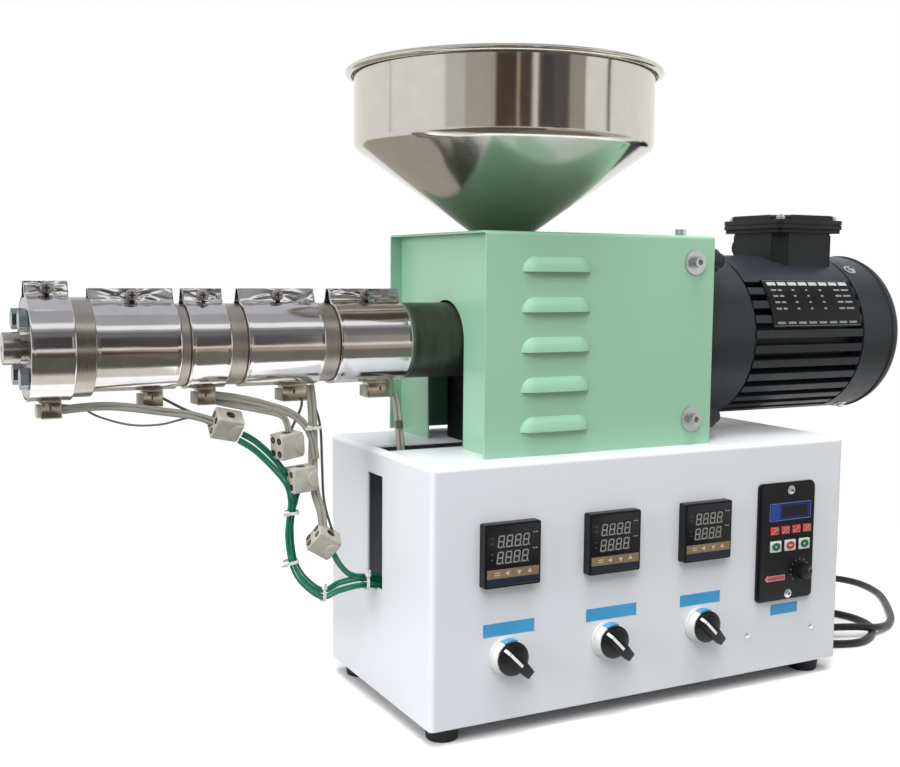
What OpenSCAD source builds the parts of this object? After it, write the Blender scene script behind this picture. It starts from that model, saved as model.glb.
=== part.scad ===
// Bench-top single screw plastic extruder on a sheet metal control cabinet.
// Frame: X along the control panel to the right, Y away from the panel, Z up.
// The origin is on the floor, under the middle of the machine's length, on the screw's axis.

/* [Cabinet] */
// Width of the cabinet along the panel
cab_w = 400; // [380:1:460]
// Depth of the cabinet
cab_d = 196; // [190:1:240]
// Height of the cabinet without its feet
cab_h = 196; // [190:1:240]
// Thickness of the cabinet sheet
cab_t = 1.5; // [1:0.1:2.5]
// Outer radius of the cabinet's folded edges
cab_r = 4; // [3:0.5:8]
// Height of a rubber foot
foot_h = 13; // [8:1:25]
// Diameter of a rubber foot at its top
foot_d = 28; // [20:1:34]
// Distance of a foot's centre from the cabinet's sides
foot_inset = 19.5; // [18:0.5:30]
// Width of the two wiring slots
slot_w = 29; // [15:1:34]
// Height of the slot in the left side
slot_h = 91; // [40:1:110]
// Distance from the cabinet's top down to the side slot
slot_drop = 20; // [16:1:30]
// Length of the slot in the top
top_slot_len = 120; // [80:1:140]

/* [Control panel] */
// Side of a temperature controller's bezel
ctrl_size = 48; // [45:1:55]
// How far a bezel stands proud of the panel
ctrl_proud = 8; // [4:0.5:12]
// Depth of a controller's body behind the panel
ctrl_depth = 70; // [40:1:90]
// Gap between the last temperature controller and the speed controller
panel_gap = 34; // [20:1:44]
// Distance of the first column from the cabinet's left side
ctrl_first = 63.5; // [50:0.5:70]
// Height of the controllers' centres over the cabinet's lower edge
ctrl_z = 128.5; // [120:0.5:140]
// Height of the selector switches' centres over the cabinet's lower edge
selector_z = 50; // [40:0.5:60]
// Diameter of a selector's round bezel
bezel_d = 30.3; // [28:0.1:34]
// Diameter of a selector's round handle
selector_d = 24; // [20:0.5:26]
// Reach of a selector's lever from its axis
selector_reach = 19.5; // [17:0.5:24]
// Turn of the selectors from straight up, clockwise, as they stand
selector_turn = -45; // [-60:5:60]
// Width of the speed controller's face
speed_w = 61; // [50:1:66]
// Height of the speed controller's face
speed_h = 101.5; // [90:0.5:120]
// Distance of the speed controller's middle from the cabinet's right side
speed_inset = 65; // [55:1:75]
// Height of the speed controller's middle over the cabinet's lower edge
speed_z = 110.5; // [100:0.5:120]

/* [Cover] */
// Length of the cover along the machine
cover_w = 214; // [190:1:240]
// Depth of the cover
cover_d = 172; // [160:1:176]
// Height of the cover
cover_h = 171; // [160:1:200]
// Thickness of the cover's sheet
cover_t = 1.5; // [1:0.1:2.5]
// Distance from the cabinet's left side to the cover
cover_inset = 53; // [30:1:60]
// How far the arched end plate sits inside the cover
plate_recess = 10.5; // [5:0.5:20]
// Gap under the cover's rear wall
rear_gap = 3; // [1:0.5:6]
// Length of a louvre
louvre_w = 62; // [40:1:80]
// Height of a louvre
louvre_h = 11.5; // [8:0.5:16]
// Depth of a louvre
louvre_depth = 5; // [3:0.5:7]
// Distance between two louvres
louvre_pitch = 30.5; // [24:0.5:31]

/* [Barrel] */
// Distance of the screw's axis behind the cabinet's front
axis_back = 105; // [98:1:110]
// Diameter of the barrel
barrel_d = 60; // [50:1:62]
// Diameter of the barrel's bore
bore_d = 25; // [16:1:30]
// Diameter of the die head
head_d = 70; // [66:1:80]
// Bore through the nozzle
nozzle_bore = 5; // [2:0.5:8]
// Diameter of the nozzle
nozzle_d = 22.5; // [16:0.5:26]
// Length of the nozzle in front of the die head
nozzle_len = 14.5; // [10:0.5:30]
// Width of a wide heater band
band_wide = 59; // [50:1:60]
// Width of a narrow heater band
band_narrow = 29; // [25:1:34]
// Thickness of a heater band
band_t = 1.8; // [1.2:0.1:3]
// Radius of the circle of die bolts
bolt_circle_r = 27.5; // [25:0.5:28]

/* [Hopper] */
// Diameter over the hopper's rolled rim
hopper_d = 258; // [200:1:264]
// Height of the hopper's rim over the cover
hopper_h = 129; // [110:1:160]
// Height of the hopper's straight wall
hopper_wall_h = 60; // [40:1:80]
// Thickness of the hopper's sheet
hopper_t = 1; // [0.6:0.1:2]
// Outer diameter of the hopper's spout
spout_d = 50; // [40:1:54]
// Distance from the cover's left edge to the hopper's axis
hopper_x = 62; // [55:1:75]
// Radius of the soft shoulder between the hopper's cone and wall
shoulder_r = 14; // [6:1:20]

/* [Motor] */
// Diameter of the finned motor body
motor_d = 144; // [120:1:150]
// Length of the smooth gear case in front of the motor
gear_len = 61; // [40:1:80]
// Length of the finned body
stator_len = 127; // [100:1:160]
// Length of the fan cowl
cowl_len = 48; // [35:1:60]
// Side of the terminal box's lid
lid_side = 74; // [60:1:80]
// Number of fins around the motor body
fin_count = 30; // [24:2:40]

/* [Hidden] */

// Facets of circles in a preview, the reach of a cut past a face, and two clearances.
round_fn = 64;
cut = 1;
running_gap = 0.3;
fit_gap = 0.15;

// Widths of the bands from the die to the cover, and the steel that shows to the right of each.
band_widths = [band_narrow, band_wide, band_narrow, band_wide, band_wide];
band_gaps = [13.5, 7, 12.5, 12.5, 33];

function sum_to(list, count) = count <= 0 ? 0 : list[count - 1] + sum_to(list, count - 1);

// The machine's length, measured from the cabinet's left side.
bands_len = sum_to(band_widths, 5) + sum_to(band_gaps, 5);
left_reach = bands_len + nozzle_len - cover_inset;
flange_set = 10;
motor_len = gear_len + stator_len + cowl_len;
right_reach = cover_inset + cover_w + motor_len;

// Main places.
cab_x = (left_reach - right_reach) / 2;
cab_y = -axis_back;
cab_z = foot_h;
top_z = cab_z + cab_h;
cover_x = cab_x + cover_inset;
cover_y = -cover_d / 2;
cover_top = top_z + cover_h;
axis_z = top_z + cover_h / 2;
head_x = cover_x - bands_len;
hop_x = cover_x + hopper_x;
flange_x = cover_x + cover_w - flange_set;
gear_x = cover_x + cover_w;
stator_x = gear_x + gear_len;
cowl_x = stator_x + stator_len;
slot_y = -3.5;
speed_x = cab_w - speed_inset;
ctrl_pitch = (speed_x - speed_w / 2 - panel_gap - ctrl_size / 2 - ctrl_first) / 2;

// Left edge of a heater band, counted from the die.
function band_x(i) = head_x + sum_to(band_widths, i) + sum_to(band_gaps, i);

// Diameter that a heater band clamps on.
function seat_d(i) = i == 0 ? head_d : barrel_d;

// Exact rounded rectangle with its lower left corner at the origin.
module rounded_rect(w, h, r) {
  translate([r, 0]) square([w - 2 * r, h]);
  translate([0, r]) square([w, h - 2 * r]);
  for (x = [r, w - r], y = [r, h - r])
    translate([x, y]) circle(r = r, $fn = round_fn);
}

// Rounded rectangle whose lower corners are square.
module arched_rect(w, h, r) {
  rounded_rect(w, h, r);
  square([w, h / 2]);
}

// Straight bar along X, Y or Z with its outline centred.
module along_x(len) {
  rotate([90, 0, 90]) linear_extrude(len) children();
}
module along_y(len) {
  translate([0, len, 0]) rotate([90, 0, 0]) linear_extrude(len) children();
}

// Cylinder along X from x to x + len, on the screw's axis.
module axis_cyl(x, len, d) {
  translate([x, 0, axis_z]) rotate([0, 90, 0]) cylinder(h = len, d = d, $fn = round_fn);
}

// Box that is rounded along all its edges but the lowest ones.
module folded_box(w, d, h, r) {
  intersection() {
    linear_extrude(h) rounded_rect(w, d, r);
    along_y(d) arched_rect(w, h, r);
    along_x(w) arched_rect(d, h, r);
  }
}

// Hexagon head with its axis along Z.
module hex_head(across, h) {
  cylinder(h = h, d = across / cos(30), $fn = 6);
}

// Tube swept along points, with its rings turned so that they don't twist.
function unit(v) = v / norm(v);
function tangent(p, i) =
  unit(p[min(i + 1, len(p) - 1)] - p[max(i - 1, 0)]);
function first_normal(t) = unit(cross(t, abs(t.z) < 0.9 ? [0, 0, 1] : [1, 0, 0]));
function carry(n, t) = unit(n - (n * t) * t);
function normals(p, i = 0, acc = []) =
  i == len(p) ? acc
  : normals(p, i + 1, concat(acc, [i == 0 ? first_normal(tangent(p, 0)) : carry(acc[i - 1], tangent(p, i))]));

module swept_tube(p, d, sides = 8) {
  n = normals(p);
  last = len(p) - 1;
  rings = [for (i = [0:last]) let (t = tangent(p, i), a = n[i], b = cross(t, a))
    for (k = [0:sides - 1]) p[i] + d / 2 * (cos(360 * k / sides) * a + sin(360 * k / sides) * b)];
  sides_faces = [for (i = [0:last - 1], k = [0:sides - 1]) let (k2 = (k + 1) % sides)
    [i * sides + k, i * sides + k2, (i + 1) * sides + k2, (i + 1) * sides + k]];
  ends = [[for (k = [sides - 1:-1:0]) k], [for (k = [0:sides - 1]) last * sides + k]];
  polyhedron(points = rings, faces = [for (f = concat(sides_faces, ends)) [for (k = [len(f) - 1:-1:0]) f[k]]]);
}

// Points of a smooth curve through the given ones.
function blend(a, b, c, d, t) = 0.5 * ((2 * b) + (c - a) * t + (2 * a - 5 * b + 4 * c - d) * t * t
  + (3 * b - a - 3 * c + d) * t * t * t);
function smooth_route(p, steps) = concat(
  [for (i = [0:len(p) - 2], s = [0:steps - 1])
    blend(p[max(i - 1, 0)], p[i], p[i + 1], p[min(i + 2, len(p) - 1)], s / steps)],
  [p[len(p) - 1]]);

// Cabinet

module wiring_slots() {
  translate([cab_x - cut, slot_y - slot_w / 2, top_z - slot_drop - slot_h])
    cube([cab_t + 2 * cut, slot_w, slot_h]);
  translate([cab_x + cab_r + 2, slot_y - slot_w / 2, top_z - cab_t - cut])
    cube([top_slot_len, slot_w, cab_t + 2 * cut]);
}

module cabinet_shell() {
  color("white") difference() {
    translate([cab_x, cab_y, cab_z]) difference() {
      folded_box(cab_w, cab_d, cab_h, cab_r);
      translate([cab_t, cab_t, -cab_t])
        folded_box(cab_w - 2 * cab_t, cab_d - 2 * cab_t, cab_h, cab_r - cab_t);
      translate([cab_t + rear_frame, cab_d - 2 * cab_t, rear_frame])
        cube([cab_w - 2 * (cab_t + rear_frame), 3 * cab_t, cab_h - 2 * rear_frame - cab_t]);
    }
    wiring_slots();
    for (i = [0:2])
      translate([ctrl_x(i) - ctrl_body / 2, cab_y - cut, cab_z + ctrl_z - ctrl_body / 2])
        cube([ctrl_body, cab_t + 2 * cut, ctrl_body]);
    for (i = [0:2])
      translate([ctrl_x(i), cab_y - cut, cab_z + selector_z]) rotate([-90, 0, 0])
        cylinder(h = cab_t + 2 * cut, d = selector_hole, $fn = round_fn);
    translate([cab_x + speed_x - speed_body_w / 2, cab_y - cut, cab_z + speed_z - speed_body_h / 2])
      cube([speed_body_w, cab_t + 2 * cut, speed_body_h]);
    translate([cab_x + cab_w - cab_t - cut, gland_y, gland_z]) rotate([0, 90, 0])
      cylinder(h = cab_t + 2 * cut, d = gland_hole, $fn = round_fn);
  }
}

rear_frame = 14;
module cabinet_rear_panel() {
  overlap = 8;
  color("white") translate([cab_x + cab_t + rear_frame - overlap, cab_y + cab_d - 2 * cab_t,
      cab_z + rear_frame - overlap])
    cube([cab_w - 2 * (cab_t + rear_frame - overlap), cab_t,
      cab_h - 2 * (rear_frame - overlap) - cab_t]);
}

base_lift = 2;
module cabinet_base_plate() {
  color("white") translate([cab_x + cab_t, cab_y + cab_t, cab_z])
    linear_extrude(base_lift) rounded_rect(cab_w - 2 * cab_t, cab_d - 2 * cab_t, cab_r - cab_t);
}

foot_taper = 2;
module rubber_feet() {
  color("#1b1b1c")
    for (x = [foot_inset, cab_w - foot_inset], y = [foot_inset, cab_d - foot_inset])
      translate([cab_x + x, cab_y + y, 0])
        cylinder(h = foot_h, d1 = foot_d - 2 * foot_taper, d2 = foot_d, $fn = round_fn);
}

// Control panel

ctrl_body = ctrl_size - 3;
ctrl_lip = 1.6;
window_depth = 1.2;
selector_hole = 16;
speed_body_w = speed_w - 8;
speed_body_h = speed_h - 22;
speed_proud = 5;
speed_depth = 60;
face_step = 1.5;

// Middle of a column of controllers.
function ctrl_x(i) = cab_x + ctrl_first + i * ctrl_pitch;

module temp_controller(i) {
  window_w = ctrl_size - 9;
  color("#1d1e20") translate([ctrl_x(i), cab_y, cab_z + ctrl_z]) difference() {
    union() {
      translate([-ctrl_size / 2, -ctrl_proud, -ctrl_size / 2])
        along_y(ctrl_proud) rounded_rect(ctrl_size, ctrl_size, ctrl_lip);
      translate([-ctrl_body / 2 + running_gap, 0, -ctrl_body / 2 + running_gap])
        cube([ctrl_body - 2 * running_gap, ctrl_depth, ctrl_body - 2 * running_gap]);
    }
    translate([-window_w / 2, -ctrl_proud - cut, -ctrl_size / 2 + 9])
      cube([window_w, window_depth + cut, ctrl_size - 14]);
  }
}

module speed_controller() {
  display_w = 46;
  color("#1a1b1d") translate([cab_x + speed_x, cab_y, cab_z + speed_z]) difference() {
    union() {
      translate([-speed_w / 2, -speed_proud / 2, -speed_h / 2])
        along_y(speed_proud / 2) rounded_rect(speed_w, speed_h, 4);
      translate([-speed_w / 2 + face_step, -speed_proud, -speed_h / 2 + face_step])
        along_y(speed_proud / 2) rounded_rect(speed_w - 2 * face_step, speed_h - 2 * face_step, 3);
      translate([-speed_body_w / 2 + running_gap, 0, -speed_body_h / 2 + running_gap])
        cube([speed_body_w - 2 * running_gap, speed_depth, speed_body_h - 2 * running_gap]);
    }
    translate([-display_w / 2 + 2, -speed_proud - cut, 18.5])
      cube([display_w, window_depth + cut, 15.5]);
    translate([pot_x, -speed_proud - cut, pot_z]) rotate([-90, 0, 0])
      cylinder(h = pot_hole_depth + cut, d = pot_shaft_d + 2 * running_gap, $fn = round_fn);
  }
}

// Four red buttons over three white keys, on the speed controller's face.
key_h = 1.6;
module speed_panel_keys() {
  translate([cab_x + speed_x, cab_y - speed_proud - key_h, cab_z + speed_z]) {
    color("#c8453c") for (k = [0:3])
      translate([-20.5 + 12 * k, 0, 6.8]) cube([10, key_h, 7.6]);
    color("#e9ece9") for (k = [0:2])
      translate([-20.3 + 15.8 * k, 0, -9.5]) cube([13.6, key_h, 12]);
  }
}

pot_x = 14.5;
pot_z = -26;
pot_shaft_d = 6;
pot_hole_depth = 8;
pot_knob_d = 14;
pot_knob_h = 11;
module speed_knob() {
  color("#161718") translate([cab_x + speed_x + pot_x, cab_y - speed_proud, cab_z + speed_z + pot_z])
    rotate([90, 0, 0]) {
      translate([0, 0, running_gap]) difference() {
        cylinder(h = pot_knob_h, d1 = pot_knob_d, d2 = pot_knob_d - 2, $fn = round_fn);
        translate([-0.5, 0, pot_knob_h - 0.6]) cube([1, pot_knob_d, cut]);
      }
      translate([0, 0, 1 - pot_hole_depth]) cylinder(h = pot_hole_depth, d = pot_shaft_d, $fn = round_fn);
    }
}

bezel_t = 9.5;
bezel_rim_t = 3;
bezel_step = 0.9;
bezel_taper = 1.6;
selector_shaft_d = 9;
selector_shaft_len = 18;
selector_disc_h = 3;
lever_h = 8.5;
lever_tail_h = 3;
lever_w = 9;
switch_depth = 40;
switch_body = 28;
module selector_bezels() {
  for (i = [0:2]) translate([ctrl_x(i), cab_y, cab_z + selector_z]) difference() {
    union() {
      color("#e8e8e6") rotate([90, 0, 0]) {
        cylinder(h = bezel_rim_t, d = bezel_d, $fn = round_fn);
        cylinder(h = bezel_t, d1 = bezel_d - 2 * bezel_step, d2 = bezel_d - 2 * bezel_taper, $fn = round_fn);
      }
      color("#2a2b2d") rotate([-90, 0, 0])
        cylinder(h = switch_depth, d = selector_hole - 2 * running_gap, $fn = round_fn);
      color("#2a2b2d") translate([-switch_body / 2, cab_t + 1, -switch_body / 2])
        cube([switch_body, switch_depth - cab_t - 1, switch_body]);
    }
    translate([0, -bezel_t - cut, 0]) rotate([-90, 0, 0])
      cylinder(h = selector_shaft_len + 2 * cut, d = selector_shaft_d + 2 * running_gap, $fn = round_fn);
  }
}

// Lever's side: flat over the axis, then sloping down to its tail.
module lever_side() {
  back = selector_d / 2 - 1.5;
  polygon([[-back, 0], [selector_reach, 0], [selector_reach, lever_tail_h], [lever_w / 2, lever_h],
    [-back + 2, lever_h], [-back, lever_h - 2]]);
}

// Round disc that carries a tapering lever, on a shaft that turns in the bezel.
module selector_handle(i) {
  color("#18191a") translate([ctrl_x(i), cab_y - bezel_t, cab_z + selector_z])
    rotate([90, 0, 0]) rotate([0, 0, 180 - selector_turn]) {
      translate([0, 0, running_gap]) cylinder(h = selector_disc_h, d = selector_d, $fn = round_fn);
      translate([0, 0, running_gap + selector_disc_h - fit_gap]) intersection() {
        translate([-lever_w / 2, 0, 0]) rotate([90, 0, 90]) linear_extrude(lever_w) lever_side();
        linear_extrude(lever_h) {
          translate([-lever_w / 2, -selector_d / 2]) square([lever_w, selector_d / 2 + selector_reach - lever_w / 2]);
          translate([0, selector_reach - lever_w / 2]) circle(d = lever_w, $fn = round_fn);
        }
      }
      translate([0, 0, -selector_shaft_len]) cylinder(h = selector_shaft_len + 1, d = selector_shaft_d, $fn = round_fn);
    }
}

// Cover

louvre_count = 5;
louvre_x = 31;
louvre_r = (louvre_depth * louvre_depth + louvre_h * louvre_h) / (2 * louvre_depth);
louvre_sink = louvre_r - louvre_depth;

// Long bulge with round ends whose middle lies behind the sheet's face.
module louvre_bulge(r) {
  reach = louvre_w / 2 - louvre_h;
  translate([-reach, louvre_sink, 0]) rotate([0, 90, 0]) cylinder(h = 2 * reach, r = r, $fn = round_fn);
  for (x = [-reach, reach]) translate([x, louvre_sink, 0]) sphere(r = r, $fn = round_fn);
}

// Louvre hood on a wall whose outer face is at y = 0.
module louvre_hood() {
  difference() {
    intersection() {
      louvre_bulge(louvre_r);
      translate([-louvre_w, -louvre_depth - cut, 0])
        cube([2 * louvre_w, louvre_depth + cut + cover_t / 2, 2 * louvre_h]);
    }
    louvre_bulge(louvre_r - cover_t);
  }
}

module louvre_cut() {
  intersection() {
    louvre_bulge(louvre_r - cover_t);
    translate([-louvre_w, -cut, 0]) cube([2 * louvre_w, cover_t + 2 * cut, 2 * louvre_h]);
  }
}

// Places the children at each louvre of the front wall.
module each_louvre() {
  for (k = [0:louvre_count - 1])
    translate([cover_x + louvre_x + louvre_w / 2, cover_y,
        axis_z - louvre_h / 2 + (k - (louvre_count - 1) / 2) * louvre_pitch])
      children();
}

cover_r = 3;
module cover_shell() {
  difference() {
    color("#8fc4a5") union() {
      translate([cover_x, cover_y, top_z]) along_x(cover_w) difference() {
        arched_rect(cover_d, cover_h, cover_r);
        translate([cover_t, -cut]) arched_rect(cover_d - 2 * cover_t, cover_h - cover_t + cut, cover_r - cover_t);
      }
      each_louvre() louvre_hood();
    }
    each_louvre() louvre_cut();
    translate([cover_x - cut, -cover_y - 2 * cover_t, top_z - cut])
      cube([cover_w + 2 * cut, 3 * cover_t, rear_gap + cut]);
    translate([hop_x, 0, cover_top - 2 * cover_t]) cylinder(h = 4 * cover_t, d = spout_d + 4, $fn = round_fn);
    for (s = [-1, 1]) translate([bolt_col_x, s * cover_bolt_y, cover_top - 2 * cover_t])
      cylinder(h = 4 * cover_t, d = cover_bolt_d + 2 * fit_gap, $fn = round_fn);
    for (z = cover_bolt_z) translate([bolt_col_x, cover_y - cut, z]) rotate([-90, 0, 0])
      cylinder(h = cover_d + 2 * cut, d = cover_bolt_d + 2 * fit_gap, $fn = round_fn);
  }
}

arch_r = 32;
module cover_end_plate() {
  color("#86bb9c") translate([cover_x + plate_recess, 0, 0]) difference() {
    translate([0, cover_y + cover_t, top_z]) along_x(cover_t)
      arched_rect(cover_d - 2 * cover_t, cover_h - cover_t, cover_r - cover_t);
    translate([-cut, 0, axis_z]) rotate([0, 90, 0]) cylinder(h = cover_t + 2 * cut, r = arch_r, $fn = round_fn);
    translate([-cut, -arch_r, top_z - cut]) cube([cover_t + 2 * cut, 2 * arch_r, axis_z - top_z + cut]);
  }
}

plate_t = 20;
bolt_col_x = flange_x - plate_t / 2;
cover_bolt_d = 5;
cover_bolt_y = cover_d / 2 - 20;
cover_bolt_inset = 21.5;
cover_bolt_z = [top_z + cover_bolt_inset, cover_top - cover_bolt_inset];
washer_d = 20.5;
washer_t = 1.6;
cap_d = 9;
cap_h = 5.5;
cap_hole = 4.4;
bolt_grip = 14;

// Socket head cap screw with its seat at z = 0 and its thread below.
module cap_screw() {
  difference() {
    cylinder(h = cap_h, d = cap_d, $fn = round_fn);
    translate([0, 0, cap_h / 2]) hex_head(cap_hole, cap_h);
  }
  translate([0, 0, -bolt_grip]) cylinder(h = bolt_grip, d = cover_bolt_d, $fn = round_fn);
}

// The same screw on a wide washer.
module cover_bolt() {
  cylinder(h = washer_t, d = washer_d, $fn = round_fn);
  translate([0, 0, washer_t]) cap_screw();
}

module cover_bolts() {
  color("silver") {
    for (z = cover_bolt_z) {
      translate([bolt_col_x, cover_y, z]) rotate([90, 0, 0]) cover_bolt();
      translate([bolt_col_x, -cover_y, z]) rotate([-90, 0, 0]) cover_bolt();
    }
    for (s = [-1, 1]) translate([bolt_col_x, s * cover_bolt_y, cover_top]) cap_screw();
  }
}

// Drive inside the cover

shaft_hole = 40;
module motor_mount_plate() {
  inner_w = cover_d - 2 * cover_t;
  color("#4b4f52") difference() {
    translate([flange_x - plate_t, -inner_w / 2, top_z]) along_x(plate_t)
      arched_rect(inner_w, cover_h - cover_t, cover_r - cover_t);
    axis_cyl(flange_x - plate_t - cut, plate_t + 2 * cut, shaft_hole);
    for (z = cover_bolt_z, s = [-1, 1])
      translate([bolt_col_x, s * (inner_w / 2 - bolt_grip - cut), z]) rotate([-s * 90, 0, 0])
        cylinder(h = bolt_grip + 2 * cut, d = cover_bolt_d + 2 * fit_gap, $fn = round_fn);
    for (s = [-1, 1]) translate([bolt_col_x, s * cover_bolt_y, cover_top - bolt_grip - cut])
      cylinder(h = bolt_grip + 2 * cut, d = cover_bolt_d + 2 * fit_gap, $fn = round_fn);
  }
}

block_w = 60;
block_d = 74;
block_over = 42;
block_x = hop_x - block_w / 2;
module feed_block() {
  color("#5a5e61") difference() {
    translate([block_x, -block_d / 2, top_z]) cube([block_w, block_d, axis_z + block_over - top_z]);
    axis_cyl(block_x - cut, block_w + 2 * cut, barrel_d + 2 * fit_gap);
    translate([hop_x, 0, axis_z]) cylinder(h = block_over + cut, d = spout_d + 2 * fit_gap, $fn = round_fn);
  }
}

barrel_end = block_x + block_w;
module barrel() {
  start = band_x(1);
  color("#b9bbbd") difference() {
    axis_cyl(start, barrel_end - start, barrel_d);
    axis_cyl(start - cut, barrel_end - start + 2 * cut, bore_d);
    translate([hop_x, 0, axis_z]) cylinder(h = barrel_d, d = bore_d, $fn = round_fn);
  }
}

module thrust_housing() {
  len = flange_x - plate_t - barrel_end;
  color("#5a5e61") difference() {
    union() {
      axis_cyl(barrel_end, len, 96);
      translate([barrel_end, -30, top_z]) cube([len, 60, axis_z - top_z]);
    }
    axis_cyl(barrel_end - cut, len + 2 * cut, bore_d);
  }
}

// Die

head_len = band_narrow + band_gaps[0];
module die_head() {
  color("#c4c6c8") difference() {
    axis_cyl(head_x, head_len, head_d);
    axis_cyl(head_x - cut, head_len + 2 * cut, nozzle_shank_d + 2 * fit_gap);
    for (a = [45:90:315]) rotate_on_axis(a) axis_cyl(head_x - cut, 20, die_bolt_d + 2 * fit_gap);
  }
}

nozzle_shank_d = 18;
nozzle_neck = 3;
module die_nozzle() {
  color("#a9abad") difference() {
    union() {
      axis_cyl(head_x - nozzle_len, nozzle_len - nozzle_neck, nozzle_d);
      axis_cyl(head_x - nozzle_neck - fit_gap, nozzle_neck + fit_gap + head_len, nozzle_shank_d);
    }
    axis_cyl(head_x - nozzle_len - cut, nozzle_len + head_len + 2 * cut, nozzle_bore);
  }
}

// Turns the children about the screw's axis, out on the bolt circle.
module rotate_on_axis(a) {
  translate([0, bolt_circle_r * cos(a), bolt_circle_r * sin(a)]) children();
}

die_bolt_d = 8;
die_bolt_head = 6;
module die_bolts() {
  color("#c9ced3") for (a = [45:90:315]) rotate_on_axis(a) {
    translate([head_x - die_bolt_head, 0, axis_z]) rotate([0, 90, 0]) hex_head(13, die_bolt_head);
    axis_cyl(head_x, 18, die_bolt_d);
  }
}

// Heater bands

ear_h = 9;
ear_t = 1.2;
ear_foot = 6;
ear_tip = 2;
ear_screw_d = 4;
ear_nut = 9;
ear_nut_t = 3;
box_h = 12.5;
box_d = 11;
box_widths = [16.5, 17.3, 17, 23.6, 25.3];
box_shift = [0.5, 11.8, -0.3, 10.2, 8.1];
box_t = 1;

// One of the two bent ears, which lean together over the gap in the band.
module ear(z) {
  polygon([[ear_foot, z], [ear_foot + ear_t, z], [ear_tip + ear_t, z + band_t + ear_h], [ear_tip, z + band_t + ear_h]]);
}

module heater_band(i) {
  w = band_widths[i];
  x = band_x(i);
  inner = seat_d(i) + 2 * fit_gap;
  outer = seat_d(i) + 2 * band_t;
  box_x = x + w / 2 + box_shift[i] - box_widths[i] / 2;
  screw_z = axis_z + outer / 2 + ear_h / 2;
  reach = (ear_foot + ear_tip) / 2 + ear_t;
  color("#d4d6d8") difference() {
    union() {
      difference() {
        axis_cyl(x, w, outer);
        translate([x - cut, -ear_foot, axis_z]) cube([w + 2 * cut, 2 * ear_foot, outer / 2 + cut]);
      }
      translate([x, 0, 0]) along_x(w) {
        ear(axis_z + inner / 2 - 1);
        mirror([1, 0]) ear(axis_z + inner / 2 - 1);
      }
      translate([box_x, -box_d / 2, axis_z - outer / 2 - box_h]) cube([box_widths[i], box_d, box_h + 2]);
      translate([x + w / 2, -reach - ear_nut_t, screw_z]) rotate([-90, 0, 0])
        cylinder(h = ear_nut_t + ear_t, d = ear_nut, $fn = round_fn);
      translate([x + w / 2, -reach, screw_z]) rotate([-90, 0, 0])
        cylinder(h = 2 * reach + 3, d = ear_screw_d, $fn = round_fn);
      translate([x + w / 2, reach - ear_t, screw_z]) rotate([-90, 0, 0])
        hex_head(ear_nut - 1, ear_nut_t + ear_t);
    }
    axis_cyl(x - cut, w + 2 * cut, inner);
    translate([box_x + box_t, -box_d / 2 + box_t, axis_z - outer / 2 - box_h - cut])
      cube([box_widths[i] - 2 * box_t, box_d - 2 * box_t, box_h + cut - box_t]);
  }
}

// Hopper

hopper_r = hopper_d / 2;
rim_r = 4;
wall_r = hopper_r - 2 * rim_r + hopper_t;
cone_low = 1.8;
shoulder_steps = 6;
module hopper() {
  wall_low = hopper_h - hopper_wall_h;
  slope = atan2(wall_low - cone_low, wall_r - spout_d / 2);
  middle = [wall_r - shoulder_r, wall_low + shoulder_r * tan((90 - slope) / 2)];
  turns = [for (k = [0:shoulder_steps]) (slope - 90) * (1 - k / shoulder_steps)];
  color("#cfd1d3") translate([hop_x, 0, cover_top]) rotate_extrude($fn = 96) {
    outline = concat([[spout_d / 2, cone_low]], [for (a = turns) middle + shoulder_r * [cos(a), sin(a)]],
      [[wall_r, hopper_h - rim_r]]);
    inner = concat([[wall_r - hopper_t, hopper_h - rim_r]],
      [for (k = [shoulder_steps:-1:0]) middle + (shoulder_r - hopper_t) * [cos(turns[k]), sin(turns[k])]],
      [[spout_d / 2 - hopper_t, cone_low + 0.5]]);
    polygon(concat([[spout_d / 2, axis_z + seat_z - cover_top]], outline, inner,
      [[spout_d / 2 - hopper_t, axis_z + seat_z - cover_top]]));
    translate([wall_r + rim_r - hopper_t, hopper_h - rim_r]) difference() {
      circle(r = rim_r, $fn = 32);
      circle(r = rim_r - hopper_t, $fn = 32);
    }
  }
}
seat_z = 30;

// Motor

flange_side = 152;
flange_t = 8;
flange_bolt = 66;
lug_d = 20;
lug_len = 8;
flange_head = 12;
flange_head_t = 7;
case_d = motor_d + 3;
case_step = 4;
module gear_case() {
  color("#2b2d31") {
    translate([flange_x, -flange_side / 2, axis_z - flange_side / 2]) along_x(flange_set + flange_t)
      rounded_rect(flange_side, flange_side, 22);
    axis_cyl(gear_x, gear_len - case_step, case_d);
    axis_cyl(gear_x, gear_len, case_d - 6);
    for (sy = [-1, 1], sz = [-1, 1]) {
      translate([gear_x, sy * flange_bolt, axis_z + sz * flange_bolt]) rotate([0, 90, 0])
        cylinder(h = flange_t + lug_len, d = lug_d, $fn = round_fn);
      translate([gear_x + flange_t + lug_len, sy * flange_bolt, axis_z + sz * flange_bolt]) rotate([0, 90, 0])
        cylinder(h = flange_head_t, d = flange_head, $fn = round_fn);
    }
  }
}

fin_depth = 13;
groove_w = 5;
module motor_stator() {
  color("#26282c") translate([stator_x, 0, axis_z]) along_x(stator_len) difference() {
    circle(d = motor_d, $fn = round_fn);
    for (k = [0:fin_count - 1]) rotate(360 * k / fin_count)
      translate([motor_d / 2 - fin_depth, -groove_w / 2]) square([fin_depth + cut, groove_w]);
  }
}

cowl_r = 9;
cowl_bead = 1.2;
grille_rings = 5;
grille_w = 4.5;
grille_pitch = 9;
grille_depth = 4;
grille_bars = 6;
grille_bar_w = 7;

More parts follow.
